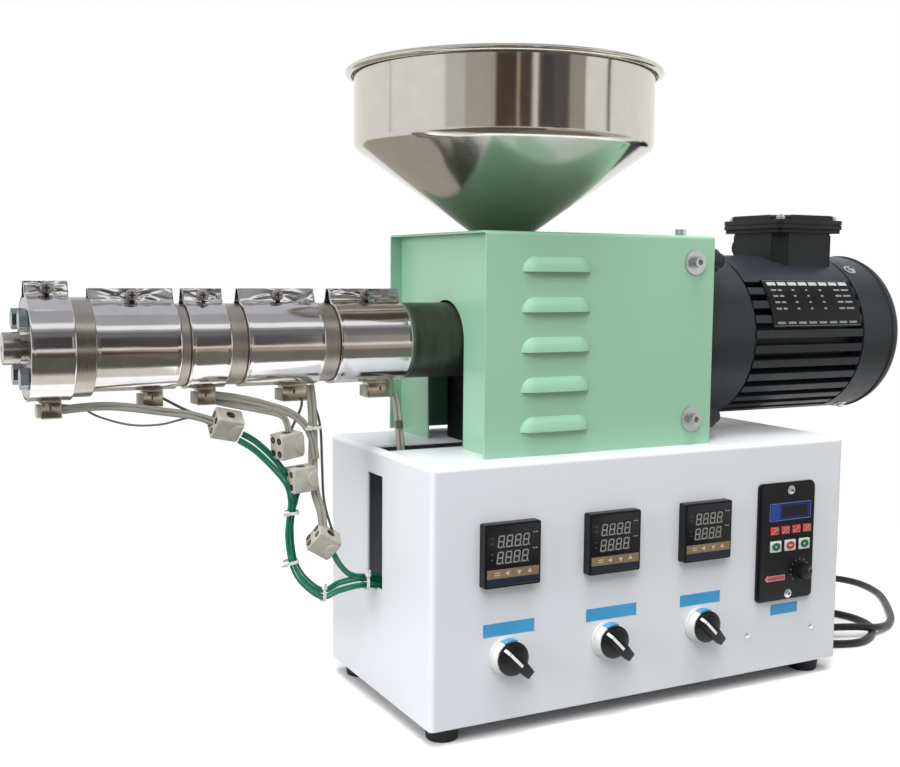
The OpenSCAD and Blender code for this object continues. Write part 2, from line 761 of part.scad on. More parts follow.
// Ring slots of the air intake, crossed by the bars that carry the rings.
module grille_slots() {
  difference() {
    for (k = [1:grille_rings]) difference() {
      circle(r = k * grille_pitch + grille_w, $fn = round_fn);
      circle(r = k * grille_pitch, $fn = round_fn);
    }
    for (k = [0:grille_bars - 1]) rotate(360 * k / grille_bars)
      translate([0, -grille_bar_w / 2]) square([motor_d, grille_bar_w]);
  }
}

module motor_fan_cowl() {
  r = motor_d / 2;
  color("#2b2d31") difference() {
    translate([cowl_x, 0, axis_z]) rotate([0, 90, 0]) rotate_extrude($fn = 96) difference() {
      union() {
        square([r - cowl_r, cowl_len]);
        square([r, cowl_len - cowl_r]);
        translate([r - cowl_r, cowl_len - cowl_r]) circle(r = cowl_r, $fn = 32);
        translate([r, cowl_len - cowl_r - 2 * cowl_bead]) circle(r = cowl_bead, $fn = 32);
      }
      translate([0, -cut]) square([r - 2, cut + 3]);
    }
    translate([cowl_x + cowl_len - grille_depth, 0, axis_z]) along_x(grille_depth + cut) grille_slots();
  }
}

tbox_x = cowl_x - 36;
tbox_side = lid_side - 12;
tbox_rise = 19;
tbox_top = axis_z + motor_d / 2 + tbox_rise;
lid_h = 18;
lid_lug_d = 12;
lid_lug_h = 10;
lid_lug_inset = 7;
module motor_terminal_box() {
  base = axis_z + motor_d / 2 - fin_depth;
  color("#232529") difference() {
    translate([tbox_x - tbox_side / 2, -tbox_side / 2, base]) linear_extrude(tbox_top - base)
      rounded_rect(tbox_side, tbox_side, 3);
    for (sx = [-1, 1], sy = [-1, 1])
      translate([tbox_x + sx * tbox_side / 2, sy * tbox_side / 2, base - cut])
        cylinder(h = tbox_top - base - 2, r = 7, $fn = round_fn);
  }
}

module motor_terminal_lid() {
  color("#26282c") translate([tbox_x - lid_side / 2, -lid_side / 2, tbox_top]) {
    linear_extrude(7) rounded_rect(lid_side, lid_side, 5);
    translate([4, 4, 0]) linear_extrude(lid_h - 3) rounded_rect(lid_side - 8, lid_side - 8, 4);
    translate([10, 10, 0]) linear_extrude(lid_h) rounded_rect(lid_side - 20, lid_side - 20, 4);
    for (x = [lid_lug_inset, lid_side - lid_lug_inset], y = [lid_lug_inset, lid_side - lid_lug_inset])
      translate([x, y, 0]) cylinder(h = lid_lug_h, d = lid_lug_d, $fn = round_fn);
  }
}

name_len = 104;
name_gap = 5;
name_low = 9;
name_high = 50;
name_t = 1;
module motor_nameplate() {
  r = motor_d / 2 + running_gap;
  color("#1a1b1d") translate([cowl_x - name_gap - name_len, 0, axis_z]) along_x(name_len) intersection() {
    difference() {
      circle(r = r + name_t, $fn = round_fn);
      circle(r = r, $fn = round_fn);
    }
    translate([-2 * r, name_low]) square([2 * r, name_high - name_low]);
  }
}

// Wiring between the heaters and the cabinet

connector_size = [27, 13, 16];
connector_screw_d = 5;
connector_screw_deep = 6;

// Two-way terminal block with its screw holes in the front.
module connector(at, turn) {
  color("#dcdcd4") translate(at) rotate([0, turn, 0]) difference() {
    translate(-connector_size / 2) cube(connector_size);
    for (z = [-0.25, 0.25]) translate([-connector_size.x / 4, -connector_size.y / 2 - cut, z * connector_size.z])
      rotate([-90, 0, 0]) cylinder(h = connector_screw_deep + cut, d = connector_screw_d, $fn = round_fn);
  }
}

connector_places = [[-236, -12, 231, 15], [-189, -12, 216, -3], [-178, -12, 190, -3], [-160, -12, 141, 62]];
module ceramic_connectors() {
  for (c = connector_places) connector([c[0], c[1], c[2]], c[3]);
}

// Woven sleeves: points and diameter of each, from the heaters' boxes to the blocks and the top slot.
sleeve_routes = [
  [[[-351, -3, 251], [-338, -6, 252.5], [-322, -8, 253], [-306, -10, 251.5], [-285, -11, 248], [-262, -12, 244],
    [-247, -12, 236]], 5],
  [[[-243, -3, 257], [-229, -7, 255], [-214, -10, 251.5], [-203, -11, 248], [-189, -12, 243], [-177, -12, 234],
    [-170, -12, 222], [-167, -12, 206]], 5],
  [[[-243, 1, 252.5], [-230, -5, 249.5], [-211, -10, 245.5], [-195, -12, 241], [-190, -12, 234], [-188, -12, 222]], 4],
  [[[-169, -4, 262.3], [-168, -6, 250], [-168, -8, 236], [-168, -9, 222], [-168.5, -10, 199], [-166.5, -10, 179],
    [-162.5, -11, 165], [-161, -12, 150]], 7],
  [[[-115, -2, 249.9], [-109, -4, 240], [-100, -6, 228], [-95.5, -6.5, 216], [-94, -6.5, 204]], 5.5],
  [[[-351, 2, 254], [-338, 0, 252], [-326, -2, 245], [-305, -5, 238.5], [-284, -8, 238], [-262, -10, 242],
    [-248, -11, 236]], 2.4]
];
module heater_leads() {
  color("#d9d6cc") for (s = sleeve_routes) swept_tube(smooth_route(s[0], 2), s[1], 8);
}

// Sensor wires: two green strands side by side from the upper blocks, one from the lowest block, and a bare tail.
wire_routes = [
  [[[-224, -10, 228], [-213, -10, 221], [-198, -10, 206], [-188, -10, 191], [-184, -10, 178], [-185, -10, 168],
    [-186.5, -10, 152], [-184, -10, 129], [-176, -10, 114], [-161, -10, 102], [-147, -9, 106], [-130, -7, 107],
    [-116, -4, 104], [-106, -2, 98]], 4],
  [[[-228, -14, 224], [-216, -14, 216], [-201, -14, 201], [-191, -14, 188], [-188, -14, 176], [-189, -14, 164],
    [-190.5, -14, 148], [-187, -14, 126], [-179, -14, 111], [-163, -14, 98], [-149, -13, 101], [-130, -11, 102.5],
    [-116, -8, 100], [-106, -6, 95]], 4],
  [[[-181, -12, 184], [-184, -12, 174], [-186.5, -12, 164]], 4],
  [[[-153, -12, 131], [-147, -11, 121], [-138, -9, 112], [-126, -7, 108], [-114, -4, 106], [-106, -2, 102]], 4]
];
module sensor_leads() {
  color("#1f9a63") for (s = wire_routes) swept_tube(smooth_route(s[0], 3), s[1], 8);
}

// Nylon ties: place, turn from level, and the width that each goes round.
tie_places = [[-167.5, -9.5, 230, 0, 9], [-186.5, -12, 166, 0, 9], [-187.5, -12, 128, -8, 10],
  [-162, -12, 100, 90, 10], [-124, -8, 104.5, 90, 11]];
tie_w = 3;
tie_t = 1;
module lead_ties() {
  color("#e8e8e8") for (p = tie_places) translate([p[0], p[1], p[2]]) rotate([0, p[3], 0]) difference() {
    cube([p[4] + 2 * tie_t, p[4] + 2 * tie_t, tie_w], center = true);
    cube([p[4], p[4], 2 * tie_w], center = true);
  }
}

// Mains lead

gland_y = 65;
gland_z = cab_z + 50;
gland_hole = 16;
cord_d = 7;
gland_len = 30;
gland_set = 8;
module cord_gland() {
  color("#1c1d1f") translate([cab_x + cab_w, gland_y, gland_z]) rotate([0, 90, 0]) difference() {
    union() {
      hex_head(19, 5);
      translate([0, 0, -10]) cylinder(h = 11, d = gland_hole, $fn = round_fn);
      cylinder(h = gland_len, d1 = 15, d2 = cord_d + 2.5, $fn = round_fn);
    }
    translate([0, 0, gland_set]) cylinder(h = gland_len, d = cord_d + 4 * fit_gap, $fn = round_fn);
  }
}

cord_route = [[300, 65, 63], [322, 65, 62], [347, 68, 57], [374, 77, 47], [398, 91, 35], [420, 109, 23],
  [442, 125, 14.5], [467, 135, 8], [491, 134, 5], [510, 122, 3.5], [520, 103, 3.5], [520.5, 82, 3.5],
  [513, 59, 3.5], [497.5, 33.5, 3.5], [456, -14.5, 3.5], [432, -34, 4], [411, -44.5, 6],
  [393, -48, 8.5], [375, -44.5, 10.5], [356.5, -37, 10.5], [337.5, -26, 9], [322, -10, 7], [315, 10, 5],
  [321, 29, 3.5], [337, 42, 3.5], [358, 46.5, 3.5], [380, 43, 3.5], [398, 31, 3.5], [410, 12, 3.5],
  [414, -9, 3.5], [409, -30, 3.5], [396, -46, 3.5], [379, -58, 3.5], [359, -65, 3.5], [338, -60.5, 3.5],
  [320, -48, 3.5], [306, -30, 3.5], [299, -8, 3.5], [297, 20, 3.5], [303, 76, 3.5],
  [306, 101, 3.5]];
plug_route = [[306, 101, 10.8], [304.5, 112, 10.5], [299, 122, 10], [290, 129, 9.5], [278.5, 132.5, 9],
  [268.3, 133, 8.5]];
module power_cord() {
  color("#17181a") {
    swept_tube(smooth_route(cord_route, 2), cord_d, 8);
    swept_tube(smooth_route(plug_route, 2), cord_d, 8);
  }
}

coil_at = [343.5, 101];
coil_mid = 75;
module cord_coil() {
  color("#17181a") translate([coil_at.x, coil_at.y, 0]) rotate_extrude($fn = round_fn)
    translate([coil_mid / 2 - cord_d - fit_gap, 0]) rounded_rect(2 * (cord_d + fit_gap), 2 * (cord_d + fit_gap), 3);
}

// Moulded two-pin mains plug with its strain relief, lying behind the cabinet.
plug_at = [220, 133];
plug_size = [42, 26, 17];
plug_nose = 6;
pin_size = [18, 1.6, 6.5];
pin_pitch = 12.7;
module power_plug() {
  color("#1b1c1e") translate([plug_at.x, plug_at.y, 0]) {
    translate([0, -plug_size.y / 2, 0]) linear_extrude(plug_size.z) rounded_rect(plug_size.x, plug_size.y, 5);
    translate([plug_size.x - cut, 0, plug_size.z / 2]) rotate([0, 90, 0])
      cylinder(h = plug_nose + cut, d1 = 14, d2 = cord_d + 3, $fn = round_fn);
    for (s = [-1, 1]) translate([-pin_size.x, s * pin_pitch / 2 - pin_size.y / 2, (plug_size.z - pin_size.z) / 2])
      cube(pin_size + [cut, 0, 0]);
  }
}

cabinet_shell();
cabinet_rear_panel();
cabinet_base_plate();
rubber_feet();
temp_controller(0);  // temp_controller_1
temp_controller(1);  // temp_controller_2
temp_controller(2);  // temp_controller_3
speed_controller();
speed_panel_keys();
speed_knob();
selector_bezels();
selector_handle(0);  // selector_handle_1
selector_handle(1);  // selector_handle_2
selector_handle(2);  // selector_handle_3
cover_shell();
cover_end_plate();
cover_bolts();
motor_mount_plate();
thrust_housing();
feed_block();
barrel();
die_head();
die_nozzle();
die_bolts();
heater_band(0);  // heater_band_1
heater_band(1);  // heater_band_2
heater_band(2);  // heater_band_3
heater_band(3);  // heater_band_4
heater_band(4);  // heater_band_5
hopper();
gear_case();
motor_stator();
motor_fan_cowl();
motor_terminal_box();
motor_terminal_lid();
motor_nameplate();
ceramic_connectors();
heater_leads();
sensor_leads();
lead_ties();
cord_gland();
power_cord();
cord_coil();
power_plug();
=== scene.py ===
import math

import bmesh
import bpy
import numpy as np
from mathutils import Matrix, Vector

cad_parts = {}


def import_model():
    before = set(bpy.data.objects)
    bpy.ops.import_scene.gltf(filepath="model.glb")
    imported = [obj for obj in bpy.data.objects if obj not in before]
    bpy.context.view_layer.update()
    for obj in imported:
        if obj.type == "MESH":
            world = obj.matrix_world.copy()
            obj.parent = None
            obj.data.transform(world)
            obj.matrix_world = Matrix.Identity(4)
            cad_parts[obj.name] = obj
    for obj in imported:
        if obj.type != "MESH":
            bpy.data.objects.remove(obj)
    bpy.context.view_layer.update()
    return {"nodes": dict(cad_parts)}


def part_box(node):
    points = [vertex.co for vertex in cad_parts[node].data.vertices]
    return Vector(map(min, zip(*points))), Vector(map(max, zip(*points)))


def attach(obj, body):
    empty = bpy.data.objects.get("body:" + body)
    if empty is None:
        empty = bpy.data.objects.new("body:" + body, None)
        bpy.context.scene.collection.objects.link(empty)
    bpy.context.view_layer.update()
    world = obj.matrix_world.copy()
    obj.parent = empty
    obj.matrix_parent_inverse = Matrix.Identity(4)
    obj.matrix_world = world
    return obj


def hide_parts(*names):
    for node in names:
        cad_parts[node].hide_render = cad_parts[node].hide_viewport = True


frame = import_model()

# Lengths are millimetres in the machine's own frame, and become metres when a mesh is made.
MM = 0.001
nodes = frame["nodes"]


def span(node):
    """The node's lowest and highest corners in millimetres."""
    low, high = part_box(node)
    return np.array(low) / MM, np.array(high) / MM


# The cabinet's lower left front and upper right back corners, and the height of the screw's axis
CABINET, CABINET_FAR = span("cabinet_shell")
AXIS_Z = sum(span("barrel"))[2] / 2

# Shapes: each is a pair of points and faces


def surface(points, closed_u=False, closed_v=False):
    """Grid of points P(u, v) with a quad between each four; a closed way joins its last row to its first."""
    rows, columns = points.shape[:2]
    u = np.arange(rows if closed_u else rows - 1)
    v = np.arange(columns if closed_v else columns - 1)
    u, v = np.meshgrid(u, v, indexing="ij")
    u2, v2 = (u + 1) % rows, (v + 1) % columns
    quads = np.stack([u * columns + v, u2 * columns + v, u2 * columns + v2, u * columns + v2], axis=-1)
    return points.reshape(-1, 3), quads.reshape(-1, 4).tolist()


def capped(rings):
    """Closed rings in a row, each end drawn in to the ring's middle."""
    ends = [np.repeat(rings[i].mean(axis=0)[None, None, :], rings.shape[1], axis=1) for i in (0, -1)]
    return surface(np.concatenate([ends[0], rings, ends[1]]), closed_v=True)


def join(*parts):
    """The parts' points and faces as one list of each."""
    points, faces, start = [], [], 0
    for part_points, part_faces in parts:
        points.append(part_points)
        faces += [[start + i for i in face] for face in part_faces]
        start += len(part_points)
    return np.concatenate(points), faces


def flipped(part):
    """The same surface with its faces the other way round."""
    points, faces = part
    return points, [face[::-1] for face in faces]


def moved(part, offset=(0, 0, 0), turn=None):
    """The part turned by a 3 x 3 matrix and then shifted."""
    points, faces = part
    if turn is not None:
        points = points @ np.asarray(turn, float).T
    return points + np.asarray(offset, float), faces


def about(axis, degrees):
    """Matrix that turns about X, Y or Z (0, 1, 2) by the right-hand rule."""
    c, s = math.cos(math.radians(degrees)), math.sin(math.radians(degrees))
    a, b = (axis + 1) % 3, (axis + 2) % 3
    matrix = np.eye(3)
    matrix[a, a], matrix[a, b], matrix[b, a], matrix[b, b] = c, -s, s, c
    return matrix


# Turn a shape drawn flat (right, up, out) to a face that looks towards -Y, +Y, +X or -X.
TO_FRONT = np.array([[1, 0, 0], [0, 0, -1], [0, 1, 0]], float)
TO_BACK = np.array([[-1, 0, 0], [0, 0, 1], [0, 1, 0]], float)
TO_RIGHT = np.array([[0, 0, 1], [1, 0, 0], [0, 1, 0]], float)
TO_LEFT = np.array([[0, 0, -1], [-1, 0, 0], [0, 1, 0]], float)


def faced(part, x, y, z):
    """A shape drawn flat, put on the panel's side with its origin at the place."""
    return moved(part, (x, y, z), TO_FRONT)


def lathe(profile, steps, closed=False):
    """Profile points (radius, height) turned about Z: P(u, v) = (r cos v, r sin v, h)."""
    profile = np.asarray(profile, float)
    angle = np.radians(np.arange(steps) * 360 / steps)
    radius, height = profile[:, :1], profile[:, 1:]
    points = np.stack([radius * np.cos(angle), radius * np.sin(angle), height + 0 * angle], axis=-1)
    return flipped(surface(points, closed_u=closed, closed_v=True))


def puck(radius, low, high, steps, top=None):
    """Round disc from low to high, its upper face a little narrower if top is given."""
    return lathe([(0, low), (radius, low), (top or radius, high), (0, high)], steps)


def distance(path):
    """How far along the line each of its points lies."""
    return np.concatenate([[0], np.cumsum(np.linalg.norm(np.diff(path, axis=0), axis=1))])


def even(curve, step):
    """The same line with its points an equal way apart."""
    run = distance(curve)
    places = np.linspace(0, run[-1], max(int(run[-1] / step), 2) + 1)
    return np.stack([np.interp(places, run, curve[:, k]) for k in range(curve.shape[1])], axis=1)


def smooth_path(points, step, soften=0):
    """Cubic from each point to the next, whose slope at a point is half the chord of its neighbours."""
    p = np.asarray(points, float)
    before = np.vstack([p[:1], p[:-2]])
    after = np.vstack([p[2:], p[-1:]])
    b, c = p[:-1], p[1:]
    t = np.linspace(0, 1, 24, endpoint=False)[None, :, None]
    b, c, before, after = (q[:, None, :] for q in (b, c, before, after))
    curve = 0.5 * (2 * b + (c - before) * t + (2 * before - 5 * b + 4 * c - after) * t ** 2
                   + (3 * b - before - 3 * c + after) * t ** 3)
    curve = np.vstack([curve.reshape(-1, p.shape[1]), p[-1:]])
    for _ in range(soften):
        curve[1:-1] = (curve[:-2] + 2 * curve[1:-1] + curve[2:]) / 4
    return even(curve, step)


def tangents(path):
    """Unit direction of the line at each of its points."""
    tangent = np.gradient(path, axis=0)
    return tangent / np.linalg.norm(tangent, axis=1)[:, None]


def frames_along(path):
    """Two normals that are carried from ring to ring so that they don't twist."""
    tangent = tangents(path)
    last = np.cross(tangent[0], [0, 0, 1] if abs(tangent[0, 2]) < 0.9 else [1, 0, 0])
    normal = np.empty_like(path)
    for i, t in enumerate(tangent):
        last = last - t * (last @ t)
        last = last / np.linalg.norm(last)
        normal[i] = last
    return normal, np.cross(tangent, normal)


def tube(path, radius, sides):
    """Circle carried along the path: P(u, v) = path(u) + r (cos v n + sin v b)."""
    normal, across = frames_along(path)
    angle = np.radians(np.arange(sides) * 360 / sides)[None, :, None]
    ring = np.cos(angle) * normal[:, None, :] + np.sin(angle) * across[:, None, :]
    return capped(path[:, None, :] + radius * ring)


def ribbon(path, across, width, thick):
    """Flat bar carried along the path: its four corners lie width apart across and thick above the path."""
    path = np.asarray(path, float)
    across = np.broadcast_to(np.asarray(across, float), path.shape)
    lift = np.cross(across, tangents(path))
    lift /= np.linalg.norm(lift, axis=1)[:, None]
    corners = [(-width / 2, 0), (width / 2, 0), (width / 2, thick), (-width / 2, thick)]
    return capped(np.stack([path + a * across + b * lift for a, b in corners], axis=1))


def rounded_box(low, high, radius, steps=3):
    """Ball pulled apart: P = centre + s (half size - r) + r n, where s are the signs of the normal n."""
    low, high = np.asarray(low, float), np.asarray(high, float)
    half = (high - low) / 2
    radius = min(radius, *half)
    quarter = np.linspace(0, 90, steps + 1)
    around = np.concatenate([quarter + 90 * k for k in range(4)])
    up = np.concatenate([quarter - 90, quarter])
    sign_x = np.repeat([1, -1, -1, 1], steps + 1)
    sign_y = np.repeat([1, 1, -1, -1], steps + 1)
    sign_z = np.repeat([-1, 1], steps + 1)
    a, b = np.radians(around)[None, :], np.radians(up)[:, None]
    normal = np.stack([np.cos(b) * np.cos(a), np.cos(b) * np.sin(a), np.sin(b) + 0 * a], axis=-1)
    sign = np.stack(np.broadcast_arrays(sign_x[None, :], sign_y[None, :], sign_z[:, None]), axis=-1)
    grid = (low + high) / 2 + sign * (half - radius) + radius * normal
    points, faces = flipped(surface(grid, closed_v=True))
    columns = 4 * (steps + 1)
    bottom = [k * (steps + 1) for k in range(4)]
    top = [len(points) - columns + k for k in bottom]
    return points, faces + [bottom[::-1], top]


def arc(centre, radius, start, end, count):
    """Points of a circle from the start to the end angle in degrees."""
    angle = np.radians(np.linspace(start, end, count))
    return np.stack([centre[0] + radius * np.cos(angle), centre[1] + radius * np.sin(angle)], axis=1)


def circle(radius, count, centre=(0, 0), start=0.0):
    """Outline of that many equal sides, counter-clockwise."""
    return arc(centre, radius, start, start + 360, count + 1)[:-1]


def rounded(width, height, radius, centre=(0, 0), steps=5):
    """Rectangle's outline, counter-clockwise, whose corners are quarter circles."""
    corners = []
    for k, (sx, sy) in enumerate(((1, 1), (-1, 1), (-1, -1), (1, -1))):
        middle = (sx * (width / 2 - radius), sy * (height / 2 - radius))
        corners.append(arc(middle, radius, 90 * k, 90 * k + 90, steps + 1))
    return np.concatenate(corners) + centre


def four_turns(points):
    """An outline made of the points and their copies turned by 90, 180 and 270 degrees."""
    return np.vstack([np.asarray(points, float) @ about(2, 90 * k)[:2, :2].T for k in range(4)])


def inset(outline, amount):
    """Each corner moved inwards, so that every side lies that much further in."""
    before = outline - np.roll(outline, 1, axis=0)
    after = np.roll(outline, -1, axis=0) - outline
    inward = []
    for side in (before, after):
        side = side / np.maximum(np.linalg.norm(side, axis=1), 1e-9)[:, None]
        inward.append(np.stack([-side[:, 1], side[:, 0]], axis=1))
    middle = inward[0] + inward[1]
    middle /= np.maximum((middle * inward[0]).sum(axis=1), 0.3)[:, None]
    return outline + amount * middle


def slab(outline, low, high, edge=0.0):
    """Counter-clockwise outline raised from low to high, its upper edge a quarter circle of the edge size."""
    outline = np.asarray(outline, float)
    turn = np.radians([0, 45, 90]) if edge else [0.0]
    rings = [(0.0, low)] + [(edge * (1 - math.cos(a)), high - edge + edge * math.sin(a)) for a in turn]
    points = [np.column_stack([inset(outline, move) if move else outline, np.full(len(outline), z)])
              for move, z in rings]
    count = len(outline)
    points, faces = flipped(surface(np.stack(points), closed_v=True))
    return points, faces + [list(range(count))[::-1], list(range(len(points) - count, len(points)))]


def stroke(start, end, width, pointed=True):
    """Outline of a bar; pointed ends let the bars of a figure meet with a hairline between them."""
    start, end = np.array(start, float), np.array(end, float)
    way = (end - start) / np.linalg.norm(end - start)
    side = np.array([-way[1], way[0]]) * width / 2
    if not pointed:
        return np.array([start - side, end - side, end + side, start + side])
    tip = way * width / 2
    return np.array([start, start + tip - side, end - tip - side, end, end - tip + side, start + tip + side])


def bars(*ends, width, low=0.0):
    """Strokes of ink between pairs of points, drawn flat."""
    return join(*(slab(stroke(a, b, width, pointed=False), low, low + INK) for a, b in ends))


def sides_of(x, y):
    """Ends of the four sides of a rectangle that reaches x and y from its middle."""
    corners = [(-x, -y), (x, -y), (x, y), (-x, y)]
    return zip(corners, corners[1:] + corners[:1])


def pan_head(radius, height):
    """Screw head: a wall of a third of the height under a quarter ellipse."""
    angle = np.radians(np.linspace(0, 90, 7))
    dome = np.stack([radius * np.cos(angle), height / 3 + height * 2 / 3 * np.sin(angle)], axis=1)
    return lathe(np.vstack([[[0, 0], [radius, 0]], dome]), 28)


def cross_slot(reach, width, low, high):
    """Cross recess, shown as a cross of painted shade on the head."""
    w = width / 2
    return slab(four_turns([[reach, -w], [reach, w], [w, w]]), low, high)


# Thickness of a print
INK = 0.05

# Pieces

# Points closer than this many metres are one, and edges sharper than so many degrees are bevelled.
WELD = 2e-6
BEVELLED = math.radians(28)


def new_mesh(name, part):
    """Mesh in metres of one part or of a list of parts."""
    points, faces = join(*part) if isinstance(part, list) else part
    mesh = bpy.data.meshes.new(name)
    mesh.from_pydata(points * MM, [], faces)
    return mesh


def linked(name, data):
    """A new object of the scene that holds the data."""
    thing = bpy.data.objects.new(name, data)
    bpy.context.scene.collection.objects.link(thing)
    return thing


def finished(name, mesh, finish, angle, body, replaces):
    """Object of the mesh in its finish, that says what it rides on and hides the nodes it stands for."""
    mesh.shade_smooth()
    mesh.set_sharp_from_angle(angle=angle)
    mesh.materials.append(finish)
    thing = linked(name, mesh)
    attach(thing, body)
    if replaces:
        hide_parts(*replaces)
    return thing


def piece(name, part, finish, body="machine", replaces=(), sharp=35.0):
    """A piece of the machine, with its place in its points."""
    mesh = new_mesh(name, part)
    work = bmesh.new()
    work.from_mesh(mesh)
    bmesh.ops.remove_doubles(work, verts=work.verts, dist=WELD)
    bmesh.ops.dissolve_degenerate(work, edges=work.edges, dist=1e-7)
    bmesh.ops.recalc_face_normals(work, faces=work.faces)
    work.to_mesh(mesh)
    work.free()
    return finished(name, mesh, finish, math.radians(sharp), body, replaces)


def softened(node, width, finish):
    """Merged copy of the node whose sharp edges are rounded by that many millimetres."""
    mesh = nodes[node].data.copy()
    mesh.name = node + "_finish"
    mesh.materials.clear()
    work = bmesh.new()
    work.from_mesh(mesh)
    bmesh.ops.remove_doubles(work, verts=work.verts, dist=WELD)
    bmesh.ops.dissolve_limit(work, angle_limit=math.radians(0.5), verts=work.verts, edges=work.edges)
    work.to_mesh(mesh)
    work.free()
    thing = finished(node + "_finish", mesh, finish, BEVELLED, "machine", (node,))
    bevel = thing.modifiers.new("edges", "BEVEL")
    bevel.width = width * MM
    bevel.segments = 2
    bevel.limit_method = "ANGLE"
    bevel.angle_limit = BEVELLED
    bevel.use_clamp_overlap = True
    bevel.harden_normals = True


# Finishes


def linear(code):
    """Hex sRGB colour as linear red, green, blue and alpha."""
    value = np.array([int(code[i:i + 2], 16) for i in (1, 3, 5)]) / 255
    value = np.where(value <= 0.04045, value / 12.92, ((value + 0.055) / 1.055) ** 2.4)
    return (*(float(v) for v in value), 1.0)


def empty_tree(owner):
    """The node tree of a material or world, without its nodes."""
    owner.use_nodes = True
    owner.node_tree.nodes.clear()
    return owner.node_tree


def add(tree, kind, inputs=None, **settings):
    """Adds one node: settings are its properties, inputs are values or other nodes' outputs."""
    node = tree.nodes.new("ShaderNode" + kind)
    for key, value in settings.items():
        setattr(node, key, value)
    for key, value in (inputs or {}).items():
        if isinstance(value, bpy.types.NodeSocket):
            tree.links.new(value, node.inputs[key])
        else:
            node.inputs[key].default_value = value
    return node


def start_finish(name, metallic=0.0, coat=0.0, gloss=0.5):
    """An empty material: its tree, its surface shader and the object coordinates that its patterns read."""
    finish = bpy.data.materials.new(name)
    tree = empty_tree(finish)
    shader = add(tree, "BsdfPrincipled", {"Metallic": metallic, "Coat Weight": coat, "Coat Roughness": 0.12,
                                          "Specular IOR Level": gloss})
    add(tree, "OutputMaterial", {"Surface": shader.outputs[0]})
    return finish, tree, shader, add(tree, "TexCoord").outputs["Object"]


def grain(tree, coords, size, detail=3.0, stretch=None):
    """Noise whose lumps are about the given size in millimetres, finer or longer along an axis by stretch."""
    if stretch:
        coords = add(tree, "Mapping", {"Vector": coords, "Scale": stretch}).outputs[0]
    noise = {"Vector": coords, "Scale": 1 / (size * MM), "Detail": detail}
    return add(tree, "TexNoise", noise).outputs["Fac"]


def tones(tree, value, low, high, margin=0.3):
    """Colour from the low to the high tone as the pattern goes from the margin to 1 less the margin."""
    node = add(tree, "ValToRGB", {"Fac": value})
    for element, place, code in zip(node.color_ramp.elements, (margin, 1 - margin), (low, high)):
        element.position = place
        element.color = linear(code)
    return node.outputs[0]


def spread(tree, value, start, end, low=0.0, high=1.0, **settings):
    """Goes from low to high as the value goes from start to end, and no further."""
    ends = {"From Min": start, "From Max": end, "To Min": low, "To Max": high}
    return add(tree, "MapRange", {"Value": value, **ends}, **settings).outputs[0]


def larger(tree, a, b):
    """The larger of two values."""
    return add(tree, "Math", {0: a, 1: b}, operation="MAXIMUM").outputs[0]


def blended(tree, shader, share, first, second):
    """Base colour that goes from the first to the second with the share; each is a hex code or an output."""
    first, second = (linear(colour) if isinstance(colour, str) else colour for colour in (first, second))
    mix = add(tree, "Mix", {0: share, 6: first, 7: second}, data_type="RGBA")
    tree.links.new(mix.outputs[2], shader.inputs["Base Color"])


def tinted(tree, shader, value, low, high, margin=0.3):
    """Base colour that follows the pattern between two tones."""
    tree.links.new(tones(tree, value, low, high, margin), shader.inputs["Base Color"])


def rough(tree, shader, value, low, high):
    """Roughness that wanders between two values with the pattern."""
    tree.links.new(spread(tree, value, 0.3, 0.7, low, high), shader.inputs["Roughness"])


def bump(tree, shader, height, depth, under=None):
    """Relief of the given depth in millimetres, on top of another relief if one is given."""
    inputs = {"Height": height, "Distance": depth * MM, "Strength": 1.0}
    if under is not None:
        inputs["Normal"] = under
    node = add(tree, "Bump", inputs)
    tree.links.new(node.outputs[0], shader.inputs["Normal"])
    return node.outputs[0]


def paint(name, low, high, size, shine, texture, peel, gloss=0.5, metallic=0.0):
    """Painted, printed or moulded skin: faint clouds, roughness that wanders, and an even texture of peel."""
    finish, tree, shader, coords = start_finish(name, metallic, gloss=gloss)
    tinted(tree, shader, grain(tree, coords, size), low, high)
    rough(tree, shader, grain(tree, coords, size / 6, 4.0), *shine)
    bump(tree, shader, grain(tree, coords, texture, 2.0), peel)
    return finish


def metal(name, low, high, shine, streak, size, depth, dents=0.0, spun=0.0):
    """Bare metal: marks of the tool drawn out by streak, and soft dents that bend what it mirrors.

    Spun metal blurs what it mirrors across its marks, which run round the Z axis, and hardly along them.
    """
    finish, tree, shader, coords = start_finish(name, metallic=1.0)
    if spun:
        round_axis = add(tree, "Tangent", direction_type="RADIAL", axis="Z")
        tree.links.new(round_axis.outputs[0], shader.inputs["Tangent"])
        shader.inputs["Anisotropic"].default_value = spun
        shader.inputs["Anisotropic Rotation"].default_value = 0.25
    marks = grain(tree, coords, size, 4.0, streak)
    tinted(tree, shader, grain(tree, coords, 18), low, high)
    rough(tree, shader, marks, *shine)
    under = bump(tree, shader, marks, depth)
    if dents:
        bump(tree, shader, grain(tree, coords, 45, 1.0), dents, under)
    return finish


def heat_darkened():
    """Turned barrel: bright grey between the bands, blue-black scale from the last band to the cover."""
    finish, tree, shader, coords = start_finish("heat_darkened_steel", metallic=1.0)
    marks = grain(tree, coords, 0.6, 2.0, (1, 0.02, 0.02))
    patches = grain(tree, coords, 6, 3.0, (1, 0.15, 0.15))
    place = add(tree, "SeparateXYZ", {0: coords}).outputs[0]
    last_edge = span("heater_band_5")[1][0]
    scale = spread(tree, place, (last_edge - 4) * MM, (last_edge + 4) * MM)
    light = tones(tree, patches, "#A39D96", "#B0AAA3")
    dark = tones(tree, patches, "#383B35", "#464941", 0.35)
    blended(tree, shader, scale, light, dark)
    tree.links.new(spread(tree, scale, 0.0, 1.0, 1.0, 0.45), shader.inputs["Metallic"])
    rough(tree, shader, marks, 0.3, 0.45)
    bump(tree, shader, marks, 0.01)
    return finish


